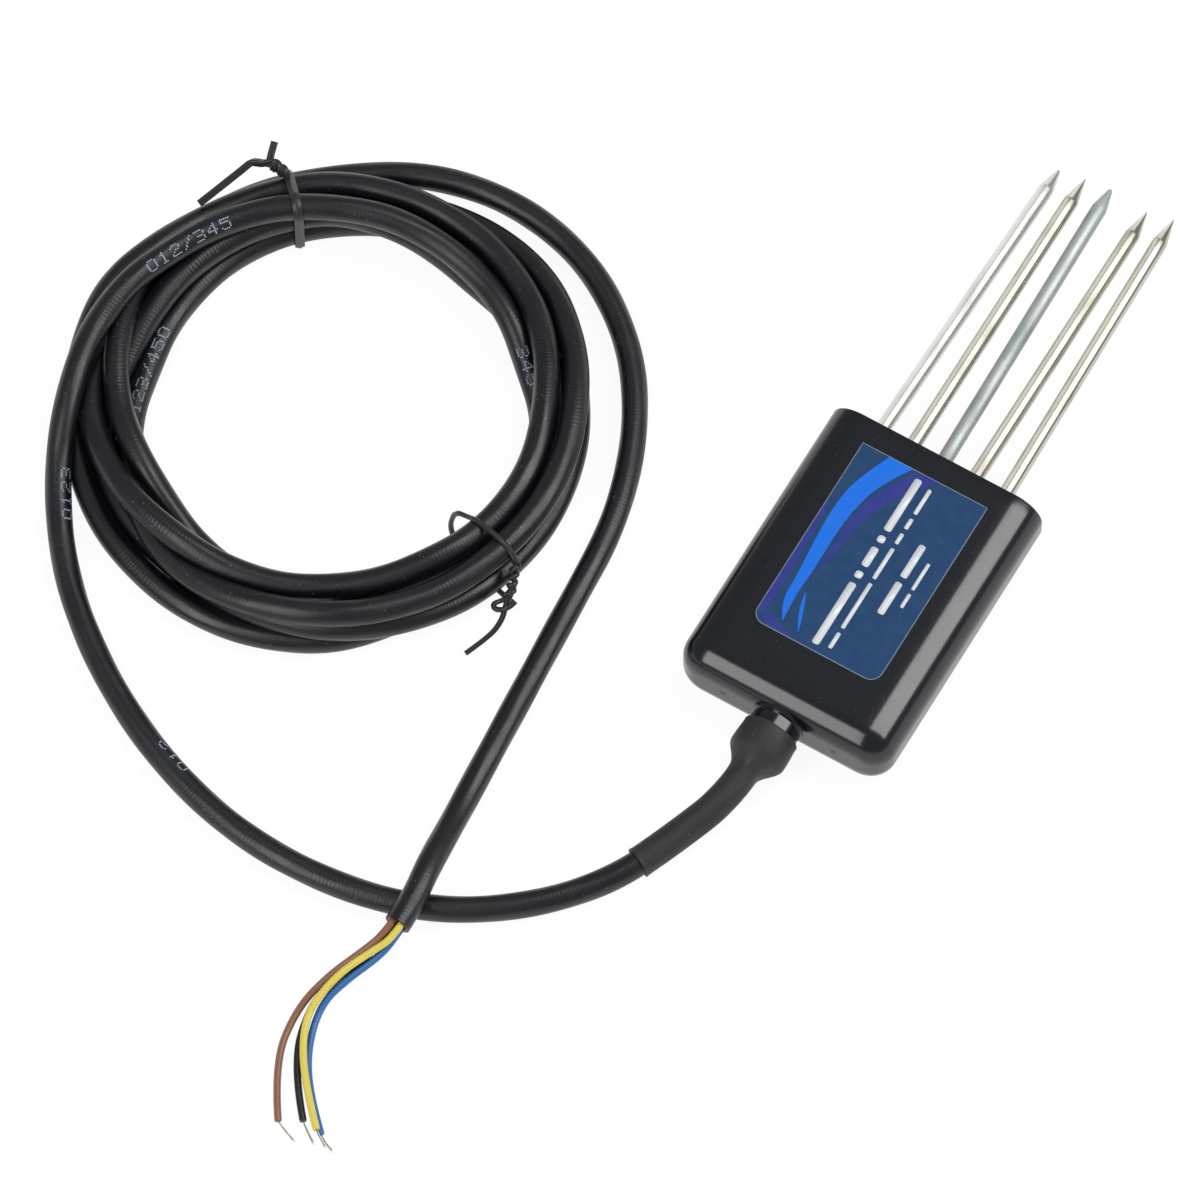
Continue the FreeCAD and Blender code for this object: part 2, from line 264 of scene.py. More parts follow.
def rounded_ring(half_x: float, half_z: float, radius: float, y: float, mid_z: float,
                 arc: int = 12, flat: int = 22, side: int = 4) -> np.ndarray:
    """A ring in the plane y whose outline is a rectangle with round corners.

    Each corner is an arc, centre (+-(half_x - r), +-(half_z - r)), and each straight is
    divided evenly, so rings of different size match point for point.

    Args:
        half_x: Half the width.
        half_z: Half the height.
        radius: Corner radius.
        y: Place along Y.
        mid_z: Height of the ring's middle.
        arc: Points on each corner.
        flat: Points along the top and the bottom.
        side: Points along each side.

    Returns:
        (n, 3) points.
    """
    turn = np.linspace(0, np.pi / 2, arc)
    centres = np.array([(1, -1), (1, 1), (-1, 1), (-1, -1)]) * (half_x - radius, half_z - radius)
    pieces = []
    for quarter, count in enumerate((side, flat, side, flat)):
        start = (quarter - 1) * np.pi / 2
        bend = centres[quarter] + radius * np.stack([np.cos(start + turn),
                                                     np.sin(start + turn)], -1)
        follow = centres[(quarter + 1) % 4] + radius * np.array([np.cos(start + np.pi / 2),
                                                                 np.sin(start + np.pi / 2)])
        share = np.linspace(0, 1, count + 2)[1:-1, None]
        pieces += [bend, bend[-1] * (1 - share) + follow * share]
    outline = np.vstack(pieces)
    return np.stack([outline[:, 0], np.full(len(outline), y), outline[:, 1] + mid_z], -1)


# ---------------------------------------------------------------- materials


def linear(code: str, alpha: float = 1.0) -> tuple[float, float, float, float]:
    """An sRGB hex colour as linear light: c/12.92 below 0.04045, else ((c+0.055)/1.055)^2.4.

    Args:
        code: The colour, as #RRGGBB.
        alpha: Its opacity.

    Returns:
        Red, green, blue and alpha.
    """
    srgb = np.array([int(code[k:k + 2], 16) for k in (1, 3, 5)]) / 255
    light = np.where(srgb <= 0.04045, srgb / 12.92, ((srgb + 0.055) / 1.055) ** 2.4)
    return (*(float(value) for value in light), alpha)


def feed(node: bpy.types.Node, inputs: dict | tuple) -> None:
    """Fill a node's inputs.

    Args:
        node: The node.
        inputs: What goes in, by the input's name or number, or in order. Each is a number, a
            tuple, a hex colour, or another node's output, which is linked.
    """
    for key, value in (inputs if isinstance(inputs, dict) else dict(enumerate(inputs))).items():
        if isinstance(value, Socket):
            node.id_data.links.new(value, node.inputs[key])
        else:
            node.inputs[key].default_value = linear(value) if isinstance(value, str) else value


def add(tree: Tree, kind: str, inputs: dict | tuple = (), output: int | str = 0,
        **settings) -> Socket | None:
    """Add a shader node with its settings and its inputs.

    Args:
        tree: The node tree.
        kind: The node's type without its ShaderNode prefix.
        inputs: What goes into it, as feed takes it.
        output: Which of its outputs is wanted.
        **settings: Properties of the node.

    Returns:
        That output, or None if it has none.
    """
    node = tree.nodes.new("ShaderNode" + kind)
    for key, value in settings.items():
        setattr(node, key, value)
    feed(node, inputs)
    return node.outputs[output] if node.outputs else None


@dataclass(frozen=True)
class Finish:
    """What every finish has: a name, a colour and how it takes light."""

    name: str
    colour: str
    roughness: float = 0.4
    metallic: float = 0.0
    ior: float = 1.5

    def material(self) -> bpy.types.Material:
        """The finish as a node material, made once.

        Returns:
            The material.
        """
        made = bpy.data.materials.get(self.name)
        if made is not None:
            return made
        made = bpy.data.materials.new(self.name)
        made.use_nodes = True
        tree = made.node_tree
        tree.nodes.clear()
        surface = add(tree, "BsdfPrincipled", {"Base Color": self.colour,
                                               "Roughness": self.roughness,
                                               "Metallic": self.metallic})
        if not self.metallic:
            feed(surface.node, {"IOR": self.ior})
        feed(surface.node, self.detail(tree))
        add(tree, "OutputMaterial", (surface,))
        made.diffuse_color = linear(self.colour)
        return made

    def detail(self, tree: Tree) -> dict[str, Socket]:
        """What this finish shows close up, as the surface's inputs that it drives. Each kind
        of finish has its own.

        Args:
            tree: The node tree.

        Returns:
            The surface's inputs that the pattern drives.
        """
        raise NotImplementedError

    @staticmethod
    def noise(tree: Tree, size_mm: float, stretch: tuple = (1, 1, 1),
              detail: float = 2.0) -> Socket:
        """Noise whose features are about size_mm across, longer where stretch is larger.

        Args:
            tree: The node tree.
            size_mm: Size of a feature.
            stretch: How much longer a feature is along each axis.
            detail: How many finer layers are added.

        Returns:
            The noise, about 0.5 in the middle.
        """
        place = add(tree, "TexCoord", output="Object")
        scaled = add(tree, "Mapping", {"Vector": place,
                                       "Scale": tuple(1 / (size_mm * MM * k) for k in stretch)})
        return add(tree, "TexNoise", {"Vector": scaled, "Scale": 1.0, "Detail": detail})

    def patches(self, tree: Tree, size_mm: float, low: float, high: float,
                to_low: float, to_high: float, **noise) -> Socket:
        """Noise, with low..high spread over to_low..to_high and held at the ends.

        Args:
            tree: The node tree.
            size_mm: Size of a patch.
            low: Noise that gives to_low.
            high: Noise that gives to_high.
            to_low: Value outside the patches.
            to_high: Value inside them.
            **noise: The rest of what noise takes.

        Returns:
            The spread noise.
        """
        return add(tree, "MapRange", (self.noise(tree, size_mm, **noise), low, high,
                                      to_low, to_high))

    def grains(self, tree: Tree, size_mm: float, low: float, high: float, share: float,
               under: str | Socket, tint: str, detail: float = 1.0) -> Socket:
        """The colour under, covered by a share of tint where noise is over low..high.

        Args:
            tree: The node tree.
            size_mm: Size of a grain.
            low: Noise where a grain starts.
            high: Noise where it is full.
            share: How much a full grain covers.
            under: The colour below.
            tint: The grains' colour.
            detail: The noise's finer layers.

        Returns:
            The colour with its grains.
        """
        cover = self.patches(tree, size_mm, low, high, 0.0, share, detail=detail)
        return add(tree, "Mix", {0: cover, 6: under, 7: tint}, 2, data_type="RGBA")

    @staticmethod
    def relief(tree: Tree, parts: tuple, depth_mm: float) -> Socket:
        """A relief depth_mm deep of a height, or of height * factor + height for three parts.

        Args:
            tree: The node tree.
            parts: The height, or the three parts.
            depth_mm: The depth between heights 0 and 1.

        Returns:
            The surface's normal.
        """
        height = (parts[0] if len(parts) == 1
                  else add(tree, "Math", parts, operation="MULTIPLY_ADD"))
        return add(tree, "Bump", {"Height": height, "Distance": depth_mm * MM,
                                  "Strength": 1.0})


@dataclass(frozen=True)
class MouldedAbs(Finish):
    """Black ABS from a polished mould: a sharp gloss, faint haze, fine scuffs and some dust."""

    def detail(self, tree: Tree) -> dict[str, Socket]:
        """Haze in patches, thin scuffs along the part and pale dust grains.

        Args:
            tree: The node tree.

        Returns:
            The surface's inputs that the pattern drives.
        """
        haze = self.patches(tree, 3.0, 0.35, 0.7, self.roughness, self.roughness + 0.02,
                            stretch=(2.5, 1, 1), detail=5.0)
        scuff = self.patches(tree, 0.35, 0.66, 0.8, 0.0, 0.1, stretch=(1, 14, 1), detail=3.0)
        return {"Roughness": add(tree, "Math", (haze, scuff), operation="ADD"),
                "Base Color": self.grains(tree, 0.36, 0.75, 0.79, 0.3, self.colour, "#8A8C8C"),
                "Normal": self.relief(tree, (self.noise(tree, 1.4, detail=3.0),), 0.004)}


@dataclass(frozen=True)
class ExtrudedPvc(Finish):
    """Extruded PVC sheath: satin, with fine cross ribs left by the haul-off, and dust."""

    rib_mm: float = 0.75
    dust: float = 0.5
    relief_mm: float = 0.026

    def detail(self, tree: Tree) -> dict[str, Socket]:
        """Ribs across the cord in patches, uneven gloss and small pale specks.

        Args:
            tree: The node tree.

        Returns:
            The surface's inputs that the pattern drives.
        """
        along = add(tree, "SeparateXYZ", (add(tree, "TexCoord", output="UV"),), 1)
        wobble = self.patches(tree, 2.0, 0.3, 0.7, -1.5, 1.5)
        phase = add(tree, "Math", (along, 2 * np.pi / (self.rib_mm * MM)), operation="MULTIPLY")
        phase = add(tree, "Math", (phase, wobble), operation="ADD")
        ribs = add(tree, "Math", (phase,), operation="SINE")
        where = self.patches(tree, 16.0, 0.46, 0.66, 0.05, 1.0)
        ribs = add(tree, "Math", (ribs, where), operation="MULTIPLY")
        return {"Roughness": self.patches(tree, 7.0, 0.3, 0.7, self.roughness - 0.06,
                                          self.roughness + 0.08, detail=4.0),
                "Base Color": self.grains(tree, 0.5, 0.74, 0.79, self.dust, self.colour,
                                          "#8E9090"),
                "Normal": self.relief(tree, (ribs, 0.4, self.noise(tree, 0.5)),
                                      self.relief_mm)}


@dataclass(frozen=True)
class ShrunkPolyolefin(Finish):
    """Heat-shrunk polyolefin: matt, with lengthwise draw marks and a fine grain."""

    def detail(self, tree: Tree) -> dict[str, Socket]:
        """Draw marks along the sleeve, grain, and pale rubbed spots.

        Args:
            tree: The node tree.

        Returns:
            The surface's inputs that the pattern drives.
        """
        place = add(tree, "TexCoord", output="UV")
        scaled = add(tree, "Mapping", {"Vector": place, "Scale": (26, 130, 1)})
        marks = add(tree, "TexNoise", {"Vector": scaled, "Scale": 1.0, "Detail": 3.0})
        shade = add(tree, "Mix", {0: marks, 6: self.colour, 7: "#303131"}, 2, data_type="RGBA")
        shade = self.grains(tree, 0.5, 0.76, 0.8, 0.5, shade, "#9A9C9C")
        return {"Roughness": self.patches(tree, 4.0, 0.3, 0.7, 0.5, 0.68),
                "Base Color": self.grains(tree, 1.6, 0.68, 0.76, 0.35, shade, "#4C4E4E", 3.0),
                "Normal": self.relief(tree, (marks, 1.2, self.noise(tree, 0.3)), 0.04)}


@dataclass(frozen=True)
class CastEpoxy(Finish):
    """Cast potting resin: a soft gloss with slow ripples and pin-head bubbles."""

    def detail(self, tree: Tree) -> dict[str, Socket]:
        """Ripples a few millimetres long and small round pits.

        Args:
            tree: The node tree.

        Returns:
            The surface's inputs that the pattern drives.
        """
        cells = add(tree, "TexVoronoi", {"Vector": add(tree, "TexCoord", output="Object"),
                                         "Scale": 1 / (2.6 * MM)}, "Distance")
        pit = add(tree, "MapRange", (cells, 0.05, 0.12, 0.0, 1.0))
        return {"Roughness": self.patches(tree, 3.0, 0.3, 0.7, 0.16, 0.32),
                "Normal": self.relief(tree, (self.noise(tree, 5.0), 3.0, pit), 0.05)}


@dataclass(frozen=True)
class DrawnSteel(Finish):
    """Drawn and polished stainless rod: fine lines along it, faint stains in patches."""

    line_depth_mm: float = 0.0015
    stain: str = "#8C8376"
    spread: float = 0.1

    def detail(self, tree: Tree) -> dict[str, Socket]:
        """Draw lines a fifth of a millimetre apart and long, soft patches of tarnish.

        Args:
            tree: The node tree.

        Returns:
            The surface's inputs that the pattern drives.
        """
        lines = self.noise(tree, 0.22, stretch=(1, 60, 1))
        tarnish = self.noise(tree, 2.4, stretch=(1, 4, 1), detail=4.0)
        haze = add(tree, "MapRange", (tarnish, 0.35, 0.7, self.roughness,
                                      self.roughness + self.spread))
        ridges = add(tree, "MapRange", (lines, 0.3, 0.7, 0.0, 0.05))
        share = add(tree, "MapRange", (tarnish, 0.5, 0.75, 0.0, 0.5))
        return {"Roughness": add(tree, "Math", (haze, ridges), operation="ADD"),
                "Base Color": add(tree, "Mix", {0: share, 6: self.colour, 7: self.stain}, 2,
                                  data_type="RGBA"),
                "Normal": self.relief(tree, (lines,), self.line_depth_mm)}


@dataclass(frozen=True)
class PrintedFilm(Finish):
    """Printed polyester label under a clear film: even colour, soft gloss, a little dust."""

    def detail(self, tree: Tree) -> dict[str, Socket]:
        """A faint screen in the colour, an orange-peel film and dust grains.

        Args:
            tree: The node tree.

        Returns:
            The surface's inputs that the pattern drives.
        """
        shade = self.grains(tree, 3.0, 0.3, 0.7, 0.1, self.colour, "#5E7FA8", 5.0)
        return {"Roughness": self.patches(tree, 5.0, 0.3, 0.7, self.roughness,
                                          self.roughness + 0.04, detail=3.0),
                "Base Color": self.grains(tree, 0.36, 0.77, 0.81, 0.4, shade, "#C8D0D8"),
                "Normal": self.relief(tree, (self.noise(tree, 1.2),), 0.003)}


@dataclass(frozen=True)
class PlainGrain(Finish):
    """A plain moulded, plated or fired surface with a grain of its own and uneven tone."""

    grain_mm: float = 0.3
    relief_mm: float = 0.01
    tint: str = "#808080"

    def detail(self, tree: Tree) -> dict[str, Socket]:
        """Grain in the relief, and tone and gloss that wander slightly.

        Args:
            tree: The node tree.

        Returns:
            The surface's inputs that the pattern drives.
        """
        grain = self.noise(tree, self.grain_mm, detail=3.0)
        return {"Roughness": add(tree, "MapRange", (grain, 0.3, 0.7,
                                                    max(0.05, self.roughness - 0.06),
                                                    self.roughness + 0.06)),
                "Base Color": self.grains(tree, 6 * self.grain_mm, 0.35, 0.75, 0.25,
                                          self.colour, self.tint, 3.0),
                "Normal": self.relief(tree, (grain,), self.relief_mm)}


class Look(Enum):
    """Every finish on the sensor, each with the record's slot it belongs to."""

    HOUSING = (MouldedAbs("black_abs_moulded", "#090E18", 0.18, ior=1.58), "housing_abs")
    RESIN = (CastEpoxy("black_epoxy_cast", "#0F1011", 0.2, ior=1.55), "potting_epoxy")
    LABEL = (PrintedFilm("blue_label_film", "#1A426E", 0.14), "label_film")
    # Pale rim round the label: partly the cut film's own colour, partly a painted highlight.
    LABEL_EDGE_WITH_HIGHLIGHT = (PrintedFilm("pale_film_edge_and_painted_highlight", "#8796A8", 0.3), "label_film")
    LABEL_BRIGHT = (PrintedFilm("bright_blue_ink", "#1476F2", 0.14), "label_film")
    LABEL_VIOLET = (PrintedFilm("violet_ink", "#2F3790", 0.14), "label_film")
    LABEL_WHITE = (PrintedFilm("white_ink", "#F0F4F8", 0.2), "label_film")
    STEEL = (DrawnSteel("stainless_polished", "#C9C6BB", 0.13, 1.0, spread=0.06),
             "probe_steel")
    SATIN = (DrawnSteel("stainless_satin", "#DEDFDA", 0.22, 1.0, stain="#C6C6C2"),
             "probe_satin_steel")
    GREY = (DrawnSteel("zinc_grey_steel", "#B2B8B8", 0.5, 1.0, line_depth_mm=0.012,
                       stain="#7E8486", spread=0.16), "probe_grey_steel")
    SHEATH = (ExtrudedPvc("black_pvc_sheath", "#101218", 0.36, ior=1.55), "cable_pvc")
    SLEEVE = (ShrunkPolyolefin("black_polyolefin_sleeve", "#222323", 0.58), "sleeve_polyolefin")
    TIE = (PlainGrain("black_tie_coating", "#292B2B", 0.36, grain_mm=0.4, relief_mm=0.05,
                      tint="#3C3E3E"), "tie_plastic")
    BROWN = (ExtrudedPvc("brown_pvc_core", "#94664F", 0.34, rib_mm=0.5, dust=0.1, relief_mm=0.006),
             "core_brown_pvc")
    YELLOW = (ExtrudedPvc("yellow_pvc_core", "#E8D65E", 0.34, rib_mm=0.5, dust=0.1, relief_mm=0.006),
              "core_yellow_pvc")
    BLACK = (ExtrudedPvc("black_pvc_core", "#232424", 0.34, rib_mm=0.5, dust=0.2, relief_mm=0.006),
             "core_black_pvc")
    BLUE = (ExtrudedPvc("blue_pvc_core", "#3570B4", 0.34, rib_mm=0.5, dust=0.1, relief_mm=0.006),
            "core_blue_pvc")
    COPPER = (PlainGrain("tinned_copper_strand", "#CFCAC0", 0.28, 1.0, grain_mm=0.15,
                         relief_mm=0.005, tint="#A09078"), "tinned_copper")
    PRINT = (PlainGrain("white_cable_ink", "#AEBCD2", 0.5, grain_mm=0.12, relief_mm=0.01,
                        tint="#6A7890"), "cable_pvc")
    LAMINATE = (PlainGrain("green_solder_mask", "#0E5A36", 0.3, grain_mm=0.8, relief_mm=0.02,
                           tint="#1D7A4C"), "board_laminate")
    CHIP = (PlainGrain("black_chip_epoxy", "#1C1C1D", 0.55, grain_mm=0.1, relief_mm=0.01,
                       tint="#343434"), "chip_epoxy")
    CAN = (PlainGrain("aluminium_can", "#C9CACC", 0.3, 1.0, grain_mm=0.5, relief_mm=0.01,
                      tint="#A8A9AC"), "metal_can")
    CERAMIC = (PlainGrain("black_chip_ceramic", "#221E1C", 0.4, grain_mm=0.15, relief_mm=0.01,
                          tint="#8C7A60"), "chip_ceramic")
    SOLDER = (PlainGrain("tin_solder", "#BFC1C4", 0.22, 1.0, grain_mm=0.6, relief_mm=0.02,
                         tint="#98999C"), "solder")
    BEAD = (PlainGrain("amber_glass_bead", "#8A4B26", 0.12, grain_mm=0.5, relief_mm=0.01,
                       tint="#5E2F18"), "bead_glass")

    def dress(self, piece: Piece) -> Piece:
        """Give a piece this finish.

        Args:
            piece: The piece.

        Returns:
            The same piece.
        """
        piece.data.materials.clear()
        piece.data.materials.append(self.value[0].material())
        return piece


def seat(piece: Piece, look: Look, *nodes: str) -> Piece:
    """Dress a piece, let it ride on the sensor, and let it stand for CAD nodes.

    Args:
        piece: The new object.
        look: Its finish.
        *nodes: The CAD nodes that it replaces.

    Returns:
        The piece.
    """
    look.dress(piece)
    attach(piece, "root")
    if nodes:
        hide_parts(*nodes)
    LOG.info("%s: %d faces", piece.name, len(piece.data.polygons))
    return piece


# ---------------------------------------------------------------- the lead


@dataclass
class Cable:
    """The black lead: out of the housing, five turns of coil, and the free end."""

    radius: float = 2.5
    sheath: float = 0.75
    cut_depth: float = 2.5
    give: float = 0.3
    yielding: tuple[float, float] = (0.09, 0.4)
    rounds: int = 900
    swell: float = 0.03
    swell_pitch: float = 70.0
    cols: int = 28
    centre: tuple[float, float] = (-104.9, -15.5)
    step_deg: float = 15.0
    lead: tuple = (
        (0.0, -34.0, 7.5), (0.0, -46.5, 7.5), (-5.6, -58.6, 3.7), (-11.6, -71.8, 2.5),
        (-23.0, -84.5, 2.5), (-38.0, -94.0, 2.5), (-56.0, -98.4, 2.5), (-76.0, -98.4, 2.5),
        (-96.0, -93.0, 2.5), (-115.0, -83.0, 2.5), (-131.5, -69.5, 2.5), (-143.2, -53.2, 4.0))
    joining: tuple = ((210, 49.6, 9.8), (187.5, 46.3, 11.0), (165, 42.9, 10.8))
    stations: tuple = (120, 75, 30, -15, -60, -105, -150, -172.5, -195)
    turns: tuple = (
        ((38.9, 11.0), (38.0, 7.2), (39.6, 2.6), (39.6, 2.5), (46.4, 2.5),
         (48.0, 2.5), (47.4, 2.5), (47.2, 4.0), (45.8, 6.8)),
        ((46.4, 7.0), (43.8, 7.2), (39.8, 10.0), (38.9, 9.4), (38.3, 8.6),
         (41.4, 9.8), (46.0, 7.0), (44.3, 2.5), (42.6, 2.5)),
        ((45.0, 2.5), (48.3, 2.6), (45.4, 10.2), (44.4, 10.0), (45.6, 11.6),
         (43.7, 6.3), (38.4, 2.5), (37.1, 2.5), (37.6, 2.5)),
        ((40.2, 2.5), (43.2, 2.5), (45.8, 2.5), (45.4, 3.2), (46.3, 7.1),
         (43.0, 2.5), (44.0, 2.5), (40.4, 4.6), (39.7, 6.8)),
        ((40.2, 6.9), (38.2, 2.5), (42.7, 6.4), (42.2, 6.0), (39.8, 3.6),
         (36.7, 2.7), (40.6, 6.9), (43.8, 6.0), (46.6, 2.5)))
    leaving: tuple = (49.8, 2.5)
    tail: tuple = (
        (-116.0, 37.2, 2.5), (-98.0, 40.6, 2.5), (-79.5, 36.6, 2.5), (-64.0, 25.5, 2.5),
        (-54.0, 10.5, 2.5), (-48.0, -7.5, 2.5), (-46.6, -27.0, 2.5), (-45.2, -46.0, 2.5),
        (-44.0, -62.0, 2.5), (-42.9, -75.0, 2.9), (-41.2, -87.5, 7.6), (-40.0, -95.2, 7.8),
        (-40.0, -101.0, 7.8))
    line: np.ndarray = field(default=None, repr=False)

    def coil_points(self) -> np.ndarray:
        """Control points of the turns.

        The angle falls steadily, the radius and height go evenly from station to station,
        and a control point stands 1 / cos(half a step) outside the turn it draws.

        Returns:
            (n, 3) control points.
        """
        angles = [place[0] for place in self.joining]
        lanes = [place[1:] for place in self.joining]
        for number, turn in enumerate(self.turns):
            angles += [angle - 360 * number for angle in self.stations]
            lanes += list(turn)
        angles.append(self.stations[0] - 360 * len(self.turns))
        lanes.append(self.leaving)
        fine = self.step_deg / 3
        at = np.arange(angles[0], angles[-1] - 0.1, -fine)
        lanes = np.stack([np.interp(-at, -np.array(angles), [lane[k] for lane in lanes])
                          for k in (0, 1)], -1)
        radius, height = self.settle(lanes, int(360 / fine))[::3].T
        radius = radius / np.cos(np.radians(self.step_deg / 2))
        turn = np.radians(at[::3])
        return np.stack([self.centre[0] + radius * np.cos(turn),
                         self.centre[1] + radius * np.sin(turn), height], -1)

    def settle(self, lanes: np.ndarray, per_turn: int) -> np.ndarray:
        """Let the turns lie beside and on each other, none inside another.

        At one angle the turns are circles in a plane. Each pair that is closer than a
        diameter, less what the soft sheath gives, moves apart along the line between its
        centres, more easily up than out because the ties hold the bundle in. Nothing goes
        below the floor, and a step's movement is averaged along the lead, so that it stays
        smooth.

        Args:
            lanes: (n, 2) radius and height along the turns.
            per_turn: How many of them make a turn.

        Returns:
            The settled radius and height.
        """
        lanes = lanes.copy()
        count = len(lanes)
        free = np.clip(np.minimum(np.arange(count), count - 1 - np.arange(count)) / 8, 0, 1)
        kernel = np.array([1, 2, 3, 4, 3, 2, 1]) / 16
        for _ in range(self.rounds):
            push = np.zeros_like(lanes)
            for shift in range(per_turn, count, per_turn):
                apart = lanes[shift:] - lanes[:-shift]
                reach = np.linalg.norm(apart, axis=1, keepdims=True)
                step = apart / reach * np.clip(2 * self.radius - self.give - reach, 0, None)
                step *= self.yielding
                push[shift:] += step
                push[:-shift] -= step
            push = np.stack([np.convolve(push[:, k], kernel, "same") for k in (0, 1)], -1)
            lanes += push * free[:, None]
            lanes[:, 1] = np.maximum(lanes[:, 1], self.radius)
        return lanes

    def build(self) -> Piece:
        """The sheath, whose far end is cut square and open on its filler.

        The radius swells slightly in four slow spirals, where the wires inside press.

        Returns:
            The sheath.
        """
        route = np.vstack([self.lead, self.coil_points(), self.tail])
        self.line = resample(smooth_line("cable_route", route), 1.1)
        along = distances(self.line)
        turn = np.linspace(0, 2 * np.pi, self.cols, endpoint=False)
        spiral = turn[None] - 2 * np.pi * along[:, None] / self.swell_pitch
        rings = sweep(self.line, self.radius + self.swell * np.cos(4 * spiral), self.cols)
        tangent, side, top = frame_along(self.line)
        around = np.cos(turn)[:, None] * side[-1] + np.sin(turn)[:, None] * top[-1]
        mouth = [self.line[-1] + radius * around - depth * tangent[-1] for radius, depth in
                 ((self.radius - 0.12, -0.05), (self.radius - self.sheath, -0.03),
                  (self.radius - self.sheath - 0.1, 0.3),
                  (self.radius - self.sheath - 0.12, self.cut_depth))]
        rings = np.concatenate([rings, np.array(mouth)])
        rings[..., 2] = np.maximum(rings[..., 2], 0.0)
        along = np.concatenate([along, along[-1] + np.array([0.1, 0.8, 1.2, 3.4])])
        piece = ring_mesh("cable", rings, along, sharp=50)
        return seat(piece, Look.SHEATH, "cable_lead", "cable_coil", "cable_tail")


class Glyphs(Enum):
    """Dot-matrix numerals, five dots wide and seven high, rows from the top."""

    ZERO = ("0", ".###.", "#...#", "#...#", "#...#", "#...#", "#...#", ".###.")
    ONE = ("1", "..#..", ".##..", "..#..", "..#..", "..#..", "..#..", ".###.")
    TWO = ("2", ".###.", "#...#", "....#", "..##.", ".#...", "#....", "#####")
    THREE = ("3", "####.", "....#", "....#", ".###.", "....#", "....#", "####.")
    FOUR = ("4", "...#.", "..##.", ".#.#.", "#..#.", "#####", "...#.", "...#.")
    FIVE = ("5", "#####", "#....", "####.", "....#", "....#", "#...#", ".###.")
    SLASH = ("/", "....#", "...#.", "...#.", "..#..", ".#...", ".#...", "#....")

    @classmethod
    def dots(cls, text: str) -> np.ndarray:
        """(column, row) of every dot of a text, with one empty column between numerals.

        Args:
            text: The numerals.

        Returns:
            (n, 2) places, in dots.
        """
        rows = {glyph.value[0]: glyph.value[1:] for glyph in cls}
        return np.array([(6.4 * place + x, y) for place, letter in enumerate(text)
                         for y, row in enumerate(rows[letter])
                         for x, dot in enumerate(row) if dot == "#"], float)


@dataclass
class CablePrint:
    """Plain numerals printed along the sheath, one flat pad of ink for each dot."""

    cable: Cable
    dot: float = 0.3
    pitch: tuple[float, float] = (0.44, 0.34)
    thickness: float = 0.012
    lift: float = 0.028

    def build(self, name: str, text: str, start: float, tilt: float) -> Piece:
        """Print a text.

        A dot at (u, v) goes to distance start + u along the lead and to angle
        tilt + v / radius round it.

        Args:
            name: The object's name.
            text: The numerals.
            start: Distance along the lead, in millimetres.
            tilt: Angle of the text's middle round the lead, in degrees, 90 at the top.

        Returns:
            The ink, as one object.
        """
        line, radius = self.cable.line, self.cable.radius + self.lift
        along = distances(line)
        _, side, top = frame_along(line)
        dots = Glyphs.dots(text) * self.pitch
        half = self.dot / 2
        box = np.array([(u, v, w) for w in (0, self.thickness) for u, v in
                        ((-half, -half), (half, -half), (half, half), (-half, half))])
        u = start + dots[:, :1] + box[None, :, 0]
        v = 3 * self.pitch[1] - (dots[:, 1:] + box[None, :, 1])
        turn = np.radians(tilt) + v / radius
        height = radius + box[None, :, 2]

        def at(values: np.ndarray) -> np.ndarray:
            """Values along the line, read at each corner's distance."""
            return np.stack([np.interp(u, along, values[:, k]) for k in range(3)], -1)

        points = (at(line) + (height * np.cos(turn))[..., None] * at(side)
                  + (height * np.sin(turn))[..., None] * at(top))
        faces = [[8 * n + k for k in face] for n in range(len(dots)) for face in
                 ((3, 2, 1, 0), (4, 5, 6, 7), (0, 1, 5, 4), (1, 2, 6, 5), (2, 3, 7, 6),
                  (3, 0, 4, 7))]
        return seat(put_mesh(name, points, faces), Look.PRINT)


